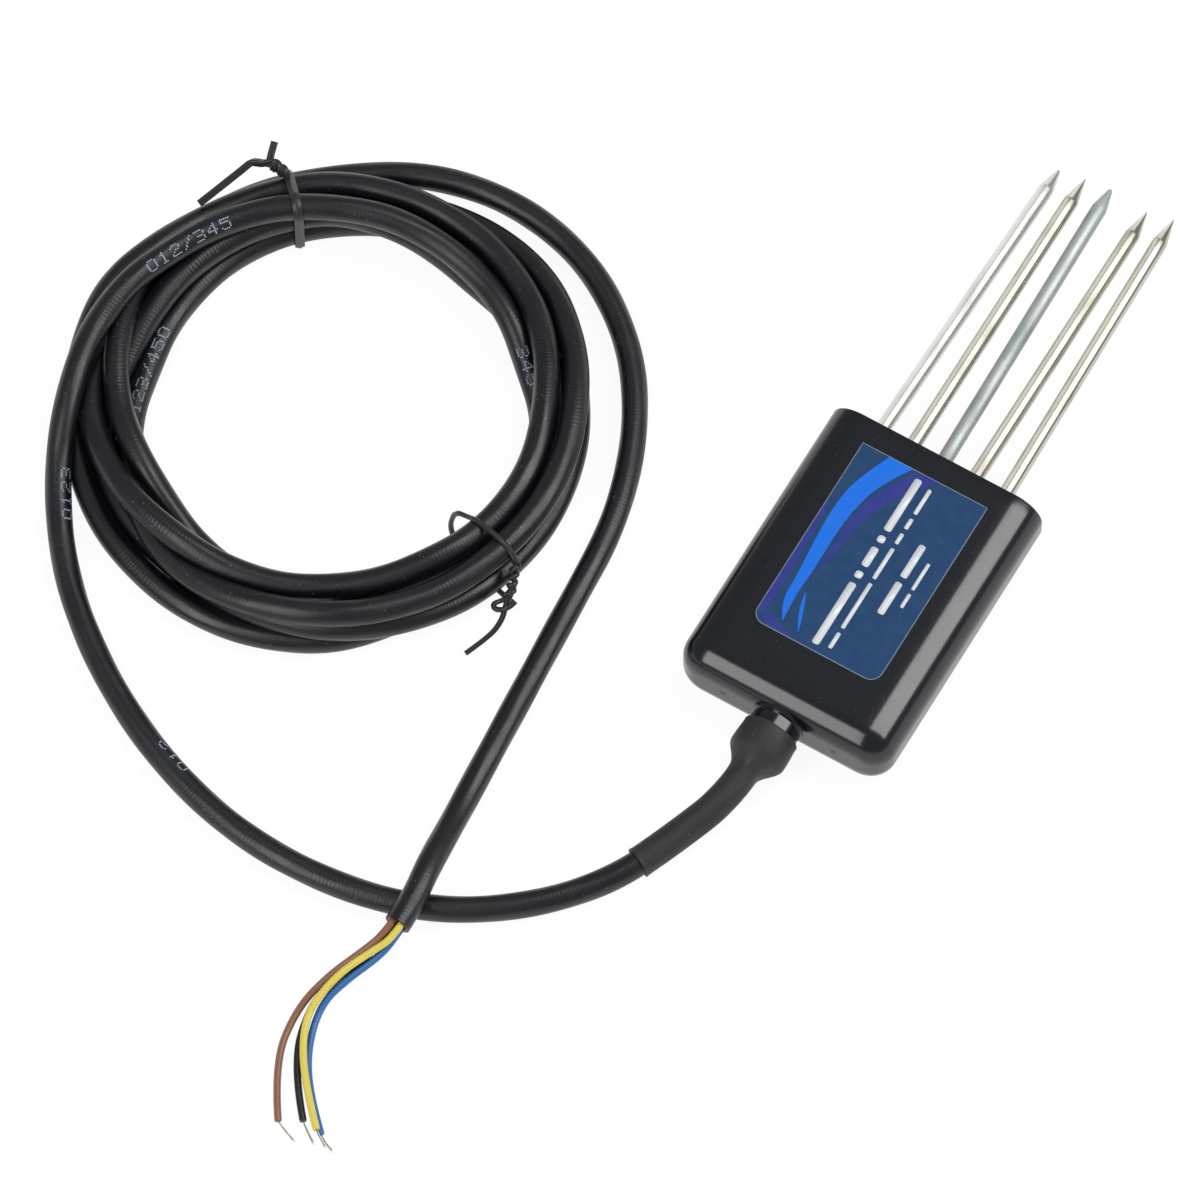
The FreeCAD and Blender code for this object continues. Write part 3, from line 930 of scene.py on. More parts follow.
@dataclass
class Sleeve:
    """Heat-shrunk sleeve: a wide mouth over the neck, a shoulder, and a tight length."""

    cable: Cable
    mouth_y: float = -32.6
    neck_end_y: float = -38.0
    cut_y: float = -66.5
    mouth_radius: float = 5.5
    neck_radius: float = 5.02
    tight_radius: float = 2.98
    wall: float = 0.45
    shoulder: float = 4.6
    fullness: float = 0.22
    flare: float = 0.14
    lip: float = 0.1
    folds: tuple = ((3, 0.2, 0.6), (5, 0.09, -1.1))
    lump: float = 0.05
    cols: int = 56

    def build(self) -> Piece:
        """The sleeve's wall, outside and inside.

        Outer radius along the lead: the mouth's, slightly fuller past the middle of the neck,
        then a smooth step 3t^2 - 2t^3 down to the tight radius, and a small flare at the cut.
        Round the shoulder it also pulls in by a few shallow folds, each depth cos(n a + phase).

        Returns:
            The sleeve.
        """
        line = self.cable.line
        start = np.array([[0.0, self.mouth_y, 7.5]])
        body = line[(line[:, 1] < -34.2) & (distances(line) < 60)]
        body = body[body[:, 1] > self.cut_y]
        line = resample(np.vstack([start, body]), 0.45)
        along = distances(line)
        bulb_end = self.mouth_y - self.neck_end_y
        fall = np.clip((along - bulb_end + 0.6) / self.shoulder, 0, 1)
        fall = fall * fall * (3 - 2 * fall)
        full = self.fullness * np.sin(np.clip(along / (bulb_end + 3), 0, 1) * np.pi)
        outer = (self.mouth_radius + full) * (1 - fall) + self.tight_radius * fall
        outer = outer + self.flare * np.clip((along - along[-1] + 0.9) / 0.9, 0, 1) ** 2
        outer = outer + self.lip * np.clip(1 - along / 0.5, 0, 1) ** 2
        turn = np.linspace(0, 2 * np.pi, self.cols, endpoint=False)
        on_shoulder = np.exp(-((along - bulb_end - 3.2) / 1.7) ** 2)
        folds = sum(depth * np.cos(count * turn + phase) for count, depth, phase in self.folds)
        lumps = self.lump * np.sin(along / 3.7)[:, None] * np.cos(2 * turn + 0.8)[None]
        outer = outer[:, None] + folds[None] * on_shoulder[:, None] + lumps
        on_neck = (along < bulb_end)[:, None]
        inner = np.where(on_neck, self.neck_radius, outer - self.wall * 1.15)
        rings = np.concatenate([sweep(line, outer, self.cols),
                                sweep(line, inner, self.cols)[::-1]])
        rings[..., 2] = np.maximum(rings[..., 2], 0.0)
        run = np.concatenate([along, along[-1] + self.wall + along])
        piece = ring_mesh("heat_shrink_sleeve_skin", rings, run, closed=True, sharp=45)
        return seat(piece, Look.SLEEVE, "heat_shrink_sleeve")


@dataclass
class Wires:
    """The four wires at the cut end, each with its stripped, stranded conductor."""

    cable: Cable
    radius: float = 0.7
    offset: float = 0.85
    lead_out: float = 3.2
    strand: float = 0.055
    strand_ring: float = 0.11
    fray: float = 0.1
    quarters: dict = field(default_factory=lambda: {
        "brown": (-1, 1), "yellow": (1, 1), "black": (-1, -1), "blue": (1, -1)})
    routes: dict = field(default_factory=lambda: {
        "brown": ((-43.5, -108.8, 5.8), (-46.8, -114.4, 2.9), (-49.0, -122.3, 0.7),
                  (-47.0, -133.8, 0.7), (-40.4, -143.3, 0.7)),
        "yellow": ((-41.3, -107.7, 7.4), (-45.0, -113.6, 4.6), (-46.7, -121.5, 2.3),
                   (-44.4, -128.0, 2.2), (-39.3, -135.3, 2.2), (-33.1, -141.7, 2.1)),
        "black": ((-42.3, -108.6, 4.6), (-45.7, -114.2, 1.7), (-47.2, -121.0, 0.7),
                  (-43.9, -132.3, 0.7), (-36.4, -141.0, 0.7)),
        "blue": ((-40.4, -107.8, 5.1), (-43.3, -112.9, 2.8), (-45.6, -119.4, 1.0),
                 (-43.1, -128.4, 0.7), (-38.0, -136.0, 0.7), (-32.2, -141.6, 0.7))})
    tips: dict = field(default_factory=lambda: {
        "brown": ((-38.3, -144.3, 0.6), (-35.6, -145.2, 0.4)),
        "yellow": ((-31.6, -142.8, 2.0), (-29.8, -143.8, 1.6)),
        "black": ((-34.7, -142.4, 0.6), (-32.3, -143.9, 0.4)),
        "blue": ((-30.3, -142.9, 0.6), (-28.4, -143.4, 0.4))})

    def conductor(self, colour: str, start: np.ndarray) -> Piece:
        """Seven fine strands: one down the middle and six twisted round it, which part
        slightly towards the tip and don't all reach it.

        A strand's centre is line + e (cos b side + sin b top), with b growing along the line
        and e = strand_ring + fray t^2 (1 + 0.7 sin 3n), for t along it and n its number.

        Args:
            colour: The wire's name.
            start: The end of its insulation.

        Returns:
            The strands, as one object.
        """
        line = resample(smooth_line("tip_route", np.vstack([[start], self.tips[colour]])), 0.2)
        _, side, top = frame_along(line)
        share = np.linspace(0, 1, len(line))
        points, faces = [], []
        for number in range(7):
            part = self.fray * share ** 2 * (1 + 0.7 * np.sin(3 * number))
            spread = (self.strand_ring + part)[:, None] if number else 0.0
            turn = (number * np.pi / 3 + 2.6 * share)[:, None]
            strand = line + spread * (np.cos(turn) * side + np.sin(turn) * top)
            strand = strand[:len(strand) - (number * 3) % 5]
            strand[:, 2] = np.maximum(strand[:, 2], self.strand)
            rings = sweep(strand, np.full(len(strand), self.strand), 8)
            quads, _ = grid_quads(len(rings), 8)
            base = sum(len(block) for block in points)
            last = base + (len(rings) - 1) * 8
            points.append(rings.reshape(-1, 3))
            faces += (quads + base).tolist()
            faces += [[base + k for k in range(8)][::-1], [last + k for k in range(8)]]
        piece = put_mesh("conductor_%s_strands" % colour, np.vstack(points), faces)
        return seat(piece, Look.COPPER, "conductor_" + colour)

    def build(self, colour: str, look: Look) -> None:
        """One wire from the cut end to its stripped tip.

        Args:
            colour: The wire's name.
            look: Its finish.
        """
        side, level = self.quarters[colour]
        start = self.cable.line[-1] + np.array([side, 0, level]) * self.offset
        straight = start - np.array([0, self.lead_out, 0])
        inside = start + np.array([0, 2.0, 0])
        route = np.vstack([[inside], [straight], self.routes[colour]])
        line = resample(smooth_line("core_route", route), 0.45)
        radii = np.full(len(line), self.radius)
        radii[-1] *= 0.93
        rings = sweep(line, radii, 20)
        rings[..., 2] = np.maximum(rings[..., 2], 0.0)
        piece = ring_mesh("core_%s_wire" % colour, rings, distances(line))
        seat(piece, look, "core_" + colour)
        tip = self.conductor(colour, line[-1])


# ---------------------------------------------------------------- ties


@dataclass
class Ties:
    """The two twist ties on the coil: a flat strip above and a round wire below."""

    cable: Cable
    slack: float = 0.5
    strip: tuple[float, float] = (1.8, 0.45)
    wire: tuple[float, float] = (0.95, 0.95)
    upper_angle: float = 131.0
    lower_angle: float = -14.0

    def strands(self, angle: float) -> np.ndarray:
        """Radius and height of the lead wherever it crosses the coil's plane at an angle.

        Args:
            angle: Where on the coil, in degrees.

        Returns:
            (n, 2) radius and height.
        """
        rel = self.cable.line - np.array([*self.cable.centre, 0.0])
        radius = np.hypot(rel[:, 0], rel[:, 1])
        turn = np.angle(np.exp(1j * (np.arctan2(rel[:, 1], rel[:, 0]) - np.radians(angle))))
        hit = np.nonzero((turn[:-1] * turn[1:] <= 0) & (np.abs(turn[:-1]) < 0.5)
                         & (radius[:-1] < 53))[0]
        return np.stack([radius[hit], rel[hit, 2]], -1)

    def around(self, angle: float, slack: float) -> np.ndarray:
        """The line of a band pulled tight round the bundle.

        At each direction u it stands at p + (R + slack) u, where p is the strand that lies
        farthest that way, which is the outline of the strands' convex hull.

        Args:
            angle: Where on the coil, in degrees.
            slack: Gap between the lead and the band's middle.

        Returns:
            A closed line that starts and ends at the outer side.
        """
        places = self.strands(angle)
        turn = np.linspace(0, 2 * np.pi, 160, endpoint=False)
        way = np.stack([np.cos(turn), np.sin(turn)], -1)
        far = places[np.argmax(way @ places.T, axis=1)]
        loop = far + (self.cable.radius + slack) * way
        loop = resample(np.c_[np.vstack([loop, loop[:1]]), np.zeros(161)], 0.3)
        head = np.radians(angle)
        return np.stack([self.cable.centre[0] + loop[:, 0] * np.cos(head),
                         self.cable.centre[1] + loop[:, 0] * np.sin(head),
                         np.maximum(loop[:, 1], 0.22)], -1)

    def ribbon(self, name: str, line: np.ndarray, size: tuple[float, float],
               across: np.ndarray, closed: bool = False) -> Piece:
        """A band with a bead down its middle, over the wire inside it.

        The section is (w/2 c |c|^-0.4, t/2 s |s|^-0.4), for c and s the cosine and the sine
        of the angle round it, with 0.45 t exp(-(x / 0.18 w)^2) more on each face.

        Args:
            name: The object's name.
            line: Its middle.
            size: Its width w and thickness t.
            across: The direction of its width.
            closed: Whether it is a loop.

        Returns:
            The band.
        """
        if closed:
            padded = np.vstack([line[-2:-1], line, line[1:2]])
            tangent = (padded[2:] - padded[:-2])[:-1]
            line = line[:-1]
        else:
            tangent = np.gradient(line, axis=0)
        tangent = tangent / np.linalg.norm(tangent, axis=1, keepdims=True)
        width = across - tangent * np.sum(tangent * across, axis=1, keepdims=True)
        width /= np.linalg.norm(width, axis=1, keepdims=True)
        normal = np.cross(tangent, width)
        turn = np.linspace(0, 2 * np.pi, 28, endpoint=False)
        cos, sin = np.cos(turn), np.sin(turn)
        x = size[0] / 2 * np.sign(cos) * np.abs(cos) ** 0.6
        y = size[1] / 2 * np.sign(sin) * np.abs(sin) ** 0.6
        if size[0] > 1.3 * size[1]:
            y = y + 0.45 * size[1] * np.sign(y) * np.exp(-(x / (0.18 * size[0])) ** 2)
        rings = (line[:, None] + x[None, :, None] * width[:, None]
                 + y[None, :, None] * normal[:, None])
        rings[..., 2] = np.maximum(rings[..., 2], 0.0)
        return ring_mesh(name, rings, distances(line), closed=closed, sharp=50)

    def twist(self, start: tuple, end: tuple, radius: float, turns: float,
              phase: float) -> np.ndarray:
        """A helix about the line from start to end: its middle + r (cos b u + sin b v).

        Args:
            start: Where its middle starts.
            end: Where its middle ends.
            radius: Its radius r.
            turns: How often it goes round.
            phase: Its first angle, in radians.

        Returns:
            (n, 3) points.
        """
        start, end = np.array(start), np.array(end)
        share = np.linspace(0, 1, int(24 * turns) + 2)[:, None]
        way = (end - start) / np.linalg.norm(end - start)
        u = np.cross(way, UP)
        u /= np.linalg.norm(u)
        v = np.cross(way, u)
        b = 2 * np.pi * turns * share + phase
        return start + (end - start) * share + radius * (np.cos(b) * u + np.sin(b) * v)

    def upper(self) -> list[Piece]:
        """The flat tie: its band, the twist of its two ends, the short end and the long.

        Returns:
            Its pieces.
        """
        head = np.radians(self.upper_angle)
        along = np.array([-np.sin(head), np.cos(head), 0.0])
        band = self.ribbon("tie_upper_band", self.around(self.upper_angle, self.slack),
                           self.strip, along, closed=True)
        seat(band, Look.TIE, "twist_tie_upper")
        root, knot = (-136.7, 20.6, 9.6), (-139.9, 19.9, 12.4)
        first = self.twist(root, knot, 0.5, 1.25, 0.4)
        second = self.twist(root, knot, 0.5, 1.25, 0.4 + np.pi)
        stub = smooth_line("tie", np.vstack([first[-1:], [(-140.3, 20.6, 13.2),
                                             (-140.5, 21.4, 13.9), (-140.9, 23.2, 14.6)]]))
        tail = smooth_line("tie", np.vstack([second[-1:], [
            (-140.8, 18.9, 12.9), (-142.0, 18.4, 13.1), (-143.0, 17.9, 13.0),
            (-143.8, 15.8, 12.4), (-147.7, 6.6, 10.2)]]))
        pieces = [band]
        for name, line, size in (("short", np.vstack([first, stub[1:]]), (1.45, 0.95)),
                                 ("long", np.vstack([second, tail[1:]]), (1.65, 0.85))):
            line = resample(line, 0.18)
            pieces.append(seat(self.ribbon("tie_upper_" + name, line, size, UP + along),
                               Look.TIE))
        return pieces

    def lower(self) -> list[Piece]:
        """The wire tie: a loop with some slack inside the coil, a close twist, a curled end
        and a long one.

        Returns:
            Its pieces.
        """
        band = self.around(self.lower_angle, 0.55)
        high = band[band[:, 2] > 9.8][::-1]
        inner = [(-56.8, -31.2, 1.2), (-60.2, -30.4, 0.48), (-67.6, -27.4, 0.48),
                 (-72.2, -25.6, 0.7), (-74.2, -24.6, 3.4), (-73.7, -23.4, 8.4)]
        loop = smooth_line("tie", np.vstack([inner, high[4::9]]))
        top, foot = tuple(high[-1] + [0.4, 0.0, -0.6]), (-56.7, -32.0, 4.9)
        first = self.twist(top, foot, 0.55, 4.25, 0.3)
        second = self.twist(top, foot, 0.42, 1.5, 0.3 + np.pi)
        curl = smooth_line("tie", np.vstack([first[-1:], [
            (-57.7, -33.2, 4.3), (-59.0, -34.4, 3.7), (-57.9, -35.3, 3.7),
            (-55.8, -34.0, 4.1), (-55.3, -32.3, 4.9)]]))
        tail = smooth_line("tie", np.vstack([second[-1:], [
            (-56.4, -34.2, 3.5), (-56.1, -36.4, 2.3), (-56.6, -39.6, 1.5),
            (-58.9, -44.6, 0.7)]]))
        pieces = []
        for name, line, look in (("loop", np.vstack([loop, second[:4]]), "twist_tie_lower"),
                                 ("curl", np.vstack([first, curl[1:]]), None),
                                 ("tail", np.vstack([second, tail[1:]]), None)):
            piece = self.ribbon("tie_lower_" + name, resample(line, 0.16), self.wire,
                                np.array([0.6, 0.3, 0.7]))
            pieces.append(seat(piece, Look.TIE, *([look] if look else [])))
        return pieces

    def build(self) -> list[Piece]:
        """Both ties."""
        return self.upper() + self.lower()


# ---------------------------------------------------------------- the housing


@dataclass
class Housing:
    """The moulded cup and its neck."""

    width: float = 45.0
    length: float = 60.0
    thickness: float = 15.0
    edge: float = 6.0
    end_round: float = 5.0
    wall: float = 2.2
    rim_round: float = 0.35
    neck_radius: float = 5.0
    neck_length: float = 8.0
    potting_drop: float = 0.6
    wall_rise: float = 0.3
    rod_rise: float = 0.35
    rise_length: float = 0.5

    def ring(self, inset: float, y: float) -> np.ndarray:
        """The outline pulled in by inset all round, its corners' radius less by the same."""
        return rounded_ring(self.width / 2 - inset, self.thickness / 2 - inset,
                            max(self.edge - inset, 0.6), y, self.thickness / 2)

    def body(self) -> Piece:
        """The cup.

        Rings run from the cable end's middle over the round end, where a ring at angle a is
        inset by R (1 - sin a) and R (1 - cos a) from the end, along the sides, over the rim
        and down inside to below the resin. Each ring's distance along is only rough, because
        the finish doesn't read it.

        Returns:
            The cup.
        """
        end, rim, r = -self.length / 2, self.length / 2, self.end_round
        rings, run = [], []
        flat = self.ring(r, end)
        middle = np.array([0.0, end, self.thickness / 2])
        for share in (0.15, 0.4, 0.7, 0.9):
            rings.append(middle + (flat - middle) * share)
            run.append(-8 * (1 - share))
        for turn in np.linspace(0, np.pi / 2, 15):
            rings.append(self.ring(r * (1 - np.sin(turn)), end + r * (1 - np.cos(turn))))
            run.append(r * turn)
        for y in np.linspace(end + r, rim - self.rim_round, 24)[1:]:
            rings.append(self.ring(0, y))
            run.append(y + 33)
        for turn in np.linspace(0, np.pi / 2, 5)[1:]:
            rings.append(self.ring(self.rim_round * (1 - np.cos(turn)),
                                   rim - self.rim_round * (1 - np.sin(turn))))
            run.append(63 + turn)
        for inset, y in ((self.wall - 0.2, rim), (self.wall - 0.06, rim - 0.06),
                         (self.wall, rim - 0.2), (self.wall, rim - 1.4)):
            rings.append(self.ring(inset, y))
            run.append(66 + inset)
        piece = ring_mesh("housing_body", np.array(rings), np.array(run), sharp=60)
        return seat(piece, Look.HOUSING, "housing_shell")

    def neck(self) -> Piece:
        """The neck, turned about the lead's axis: a low collar, a barrel and a bore.

        Returns:
            The neck.
        """
        end = -self.length / 2
        outline = np.array([(0.5, end + 4), (5.55, end + 4), (5.5, end - 0.02),
                            (5.42, end - 0.16), (5.25, end - 0.24), (5.08, end - 0.24),
                            (self.neck_radius, end - 0.34),
                            (self.neck_radius, end - self.neck_length + 0.4),
                            (self.neck_radius - 0.4, end - self.neck_length),
                            (2.55, end - self.neck_length), (0.5, end - self.neck_length)])
        piece = lathe("housing_neck", outline, 64, (0.0, self.thickness / 2))
        return seat(piece, Look.HOUSING)

    def pip(self, x: float, name: str) -> Piece:
        """The witness of a moulding gate on the cable end: a low ring round a pit.

        Args:
            x: Its place across the end.
            name: The piece's name.

        Returns:
            The ring.
        """
        end = -self.length / 2
        outline = np.array([(0.66, end + 0.5), (0.66, end), (0.6, end - 0.06),
                            (0.5, end - 0.07), (0.42, end - 0.02), (0.38, end + 0.0),
                            (0.3, end - 0.005), (0.01, end - 0.005)])
        return seat(lathe(name, outline, 24, (x, self.thickness / 2)), Look.HOUSING)

    def resin(self, rods: list[tuple[float, float]]) -> Piece:
        """The resin's face: flat, and drawn up by rise exp(-d / length) at a distance d from
        the walls and from each rod.

        Args:
            rods: The x and the radius of each probe.

        Returns:
            The resin as a closed slab.
        """
        level = self.length / 2 - self.potting_drop
        outer = self.ring(self.wall - 0.01, level)
        middle = np.array([0.0, level, self.thickness / 2])
        shares = np.array([0.04, 0.12, 0.2, 0.28, 0.36, 0.44, 0.52, 0.6, 0.68, 0.76, 0.83, 0.89,
                           0.93, 0.96, 0.98, 1.0])
        face = middle + (outer - middle)[None] * shares[:, None, None]
        wall_gap = np.linalg.norm(outer - middle, axis=-1)[None] * (1 - shares[:, None])
        rise = self.wall_rise * np.exp(-wall_gap / self.rise_length)
        for x, radius in rods:
            away = np.hypot(face[..., 0] - x, face[..., 2] - middle[2]) - radius
            rise = rise + self.rod_rise * np.exp(-np.maximum(away, 0) / self.rise_length)
        face[..., 1] += rise - 0.05
        back = outer.copy()
        back[:, 1] = level - 1.2
        rings = np.concatenate([face, back[None]])
        piece = ring_mesh("resin_face", rings, np.append(shares * 20, 22), sharp=60)
        return seat(piece, Look.RESIN)


def lathe(name: str, outline: np.ndarray, cols: int, axis: tuple[float, float],
          sharp: float = 30.0) -> Piece:
    """Turn an outline about an axis along Y: (r, y) goes to (x + r cos a, y, z + r sin a).

    Args:
        name: The object's name.
        outline: (n, 2) radius and y of each ring.
        cols: Points on each ring.
        axis: x and z of the axis.
        sharp: Edges that turn more than this are shaded as sharp.

    Returns:
        The object.
    """
    turn = np.linspace(0, 2 * np.pi, cols, endpoint=False)
    radius, y = outline[:, :1], outline[:, 1:]
    rings = np.stack([axis[0] + radius * np.cos(turn), y + 0 * turn,
                      axis[1] + radius * np.sin(turn)], -1)
    along = np.concatenate([[0], np.cumsum(np.hypot(*np.diff(outline, axis=0).T))])
    return ring_mesh(name, rings, along, sharp=sharp)


@dataclass
class Label:
    """The film on the front: two square corners, two round ones, and its printed shapes."""

    width: float = 26.8
    length: float = 41.8
    thickness: float = 0.15
    corner: float = 2.5
    shift: float = 3.9
    base_z: float = 15.0
    sunk: float = 0.02
    ink: float = 0.012

    def half_width(self, y: np.ndarray) -> np.ndarray:
        """Half the film's width at y: less by c - sqrt(c^2 - (c - d)^2) near the round end."""
        d = np.clip(y - (self.shift - self.length / 2), 0, self.corner)
        return self.width / 2 - self.corner + np.sqrt(self.corner ** 2 - (self.corner - d) ** 2)

    @staticmethod
    def slab(name: str, grid: np.ndarray, low: float, high: float,
             along: np.ndarray) -> Piece:
        """A thin flat piece: a grid in the plane at one height, and the same grid below.

        Args:
            name: The object's name.
            grid: (rows, cols, 3) points at height 0.
            low: Height of its bottom.
            high: Height of its top.
            along: (rows,) distance of each row.

        Returns:
            The piece.
        """
        rings = np.concatenate([grid + [0, 0, high], grid[:, ::-1] + [0, 0, low]], 1)
        return ring_mesh(name, rings, along, sharp=30)

    def film(self) -> Piece:
        """The film: a grid over its outline.

        Returns:
            The film.
        """
        low, high = self.shift - self.length / 2, self.shift + self.length / 2
        near = low + self.corner * (1 - np.cos(np.linspace(0, np.pi / 2, 14)))
        y = np.concatenate([near, np.linspace(low + self.corner, high, 40)[1:]])
        y[0] += 0.02
        u = np.linspace(-1, 1, 30)
        x = u[None] * self.half_width(y)[:, None]
        grid = np.stack([x, np.broadcast_to(y[:, None], x.shape), 0 * x], -1)
        piece = self.slab("label_film", grid, self.base_z, self.base_z + self.thickness, y - low)
        return seat(piece, Look.LABEL, "label")

    def band(self, name: str, look: Look, left: list, right: list, level: int) -> Piece:
        """A printed shape between two smooth edges, laid on the film.

        A point is left(t) + s (right(t) - left(t)), for t along the edges and s across.

        Args:
            name: The object's name.
            look: Its ink.
            left: Control points of its left edge.
            right: Control points of its right edge.
            level: How many layers of ink it stands above the film.

        Returns:
            The shape.
        """
        edges = [resample(smooth_line("edge", np.array([(x, y, 0.0) for x, y in side])), 0.6)
                 for side in (left, right)]
        share = np.linspace(0, 1, 50)
        first, second = (np.stack([np.interp(share * distances(edge)[-1], distances(edge),
                                             edge[:, k]) for k in range(3)], -1)
                         for edge in edges)
        across = np.linspace(0, 1, 5)[None, :, None]
        grid = first[:, None] * (1 - across) + second[:, None] * across
        limit = self.half_width(grid[..., 1]) - 0.12
        grid[..., 0] = np.clip(grid[..., 0], -limit, limit)
        base = self.base_z + self.thickness - self.sunk
        piece = self.slab(name, grid, base, base + self.sunk + self.ink * level, share * 40)
        return seat(piece, look)

    def edge(self) -> Piece:
        """The film's cut edge: a ridge 0.13 mm wide, carried round the outline. Its pale colour is
        partly the cut film's own and partly a painted highlight along the rim.

        Its section is a flat rectangle, whose corners stand in or out of the outline along
        the outline's normal.

        Returns:
            The edge.
        """
        low, high = self.shift - self.length / 2, self.shift + self.length / 2
        y = low + self.corner * (1 - np.cos(np.linspace(0, np.pi / 2, 16)))
        y[0] += 0.002
        y = np.concatenate([y, np.linspace(low + self.corner, high, 30)[1:]])
        right = np.stack([self.half_width(y), y], -1)
        middle = np.stack([np.linspace(self.width / 2, -self.width / 2, 20)[1:-1],
                           np.full(18, high)], -1)
        outline = np.vstack([right, middle, right[::-1] * [-1, 1]])
        heading = np.roll(outline, -1, 0) - np.roll(outline, 1, 0)
        heading /= np.linalg.norm(heading, axis=1, keepdims=True)
        outward = np.stack([heading[:, 1], -heading[:, 0]], -1)
        top = self.base_z + self.thickness + 0.006
        rings = np.stack([np.c_[outline + outward * out, np.full(len(outline), z)]
                          for out, z in ((0.02, self.base_z), (0.02, top), (-0.11, top),
                                         (-0.11, self.base_z + 0.05))], 1)
        # The ridge's pale colour is partly the cut edge's own and partly a painted highlight.
        piece = ring_mesh("label_edge_and_painted_highlight", rings, distances(outline), closed=True, sharp=30)
        return seat(piece, Look.LABEL_EDGE_WITH_HIGHLIGHT)

    def bars(self) -> Piece:
        """Four rows of plain bars along the film, where words would be.

        Returns:
            The bars, as one object.
        """
        rows = ((-0.5, -15.6, 23.4, 1.5, (14.4, 1.5, 4.4, 1.5, 12.2)),
                (2.35, -15.0, 22.6, 0.8, (3.6, 10.6, 7.2, 2.4, 2.4, 5.8)),
                (6.9, -4.2, 12.0, 1.4, (7.4, 7.6)),
                (9.7, -1.1, 9.3, 0.7, (3.2, 6.2)))
        points, faces = [], []
        low = self.base_z + self.thickness - self.sunk
        for x, start, end, height, lengths in rows:
            gap = (end - start - sum(lengths)) / max(len(lengths) - 1, 1)
            y = start
            for length in lengths:
                outline = rounded_ring(height / 2, length / 2, min(height, length) * 0.3, 0, 0,
                                       arc=4, flat=1, side=1)
                flat = np.stack([x + outline[:, 0], y + length / 2 + outline[:, 2]], -1)
                base = sum(len(block) for block in points)
                count = len(flat)
                top = np.c_[flat, np.full(count, low + 0.058)]
                points += [np.c_[flat, np.full(count, low)], top]
                faces += [[base + k, base + (k + 1) % count, base + count + (k + 1) % count,
                           base + count + k] for k in range(count)]
                faces += [[base + count + k for k in range(count)],
                          [base + k for k in range(count)][::-1]]
                y += length + gap
        return seat(put_mesh("label_bars", np.vstack(points), faces), Look.LABEL_WHITE)

    def build(self) -> None:
        """The film and the shapes printed on it."""
        self.film()
        self.band("label_violet_left", Look.LABEL_VIOLET,
                  [(-13.3, 11.5), (-13.3, 2.0), (-13.3, -8.0), (-13.3, -14.6)],
                  [(-12.9, 11.5), (-12.1, 4.0), (-11.6, -4.0), (-11.9, -14.6)], 1)
        self.band("label_violet_sweep", Look.LABEL_VIOLET,
                  [(-1.4, 24.7), (-5.4, 19.0), (-7.4, 12.0), (-7.9, 4.0), (-7.3, -4.0)],
                  [(3.0, 24.7), (-1.8, 19.0), (-5.2, 12.0), (-6.6, 4.0), (-7.1, -4.0)], 1)
        self.band("label_bright_sweep", Look.LABEL_BRIGHT,
                  [(-7.6, 24.7), (-10.6, 18.0), (-11.6, 11.0), (-11.1, 2.0), (-10.3, -6.0),
                   (-10.3, -11.0), (-8.2, -14.4)],
                  [(-2.6, 24.7), (-6.2, 19.0), (-8.0, 12.0), (-8.4, 5.0), (-8.2, -3.0),
                   (-8.6, -9.0), (-8.0, -14.4)], 2)
        self.band("label_bright_leaf", Look.LABEL_BRIGHT,
                  [(-7.2, -7.4), (-6.9, -11.0), (-4.4, -15.2)],
                  [(-7.1, -7.4), (-5.4, -11.0), (-4.3, -15.2)], 2)
        self.band("label_violet_corner", Look.LABEL_VIOLET,
                  [(-12.6, -14.8), (-11.8, -16.0), (-10.0, -16.9), (-5.0, -16.9)],
                  [(-12.5, -14.7), (-10.8, -14.2), (-8.6, -15.0), (-5.0, -16.8)], 1)
        self.bars()
        self.edge()


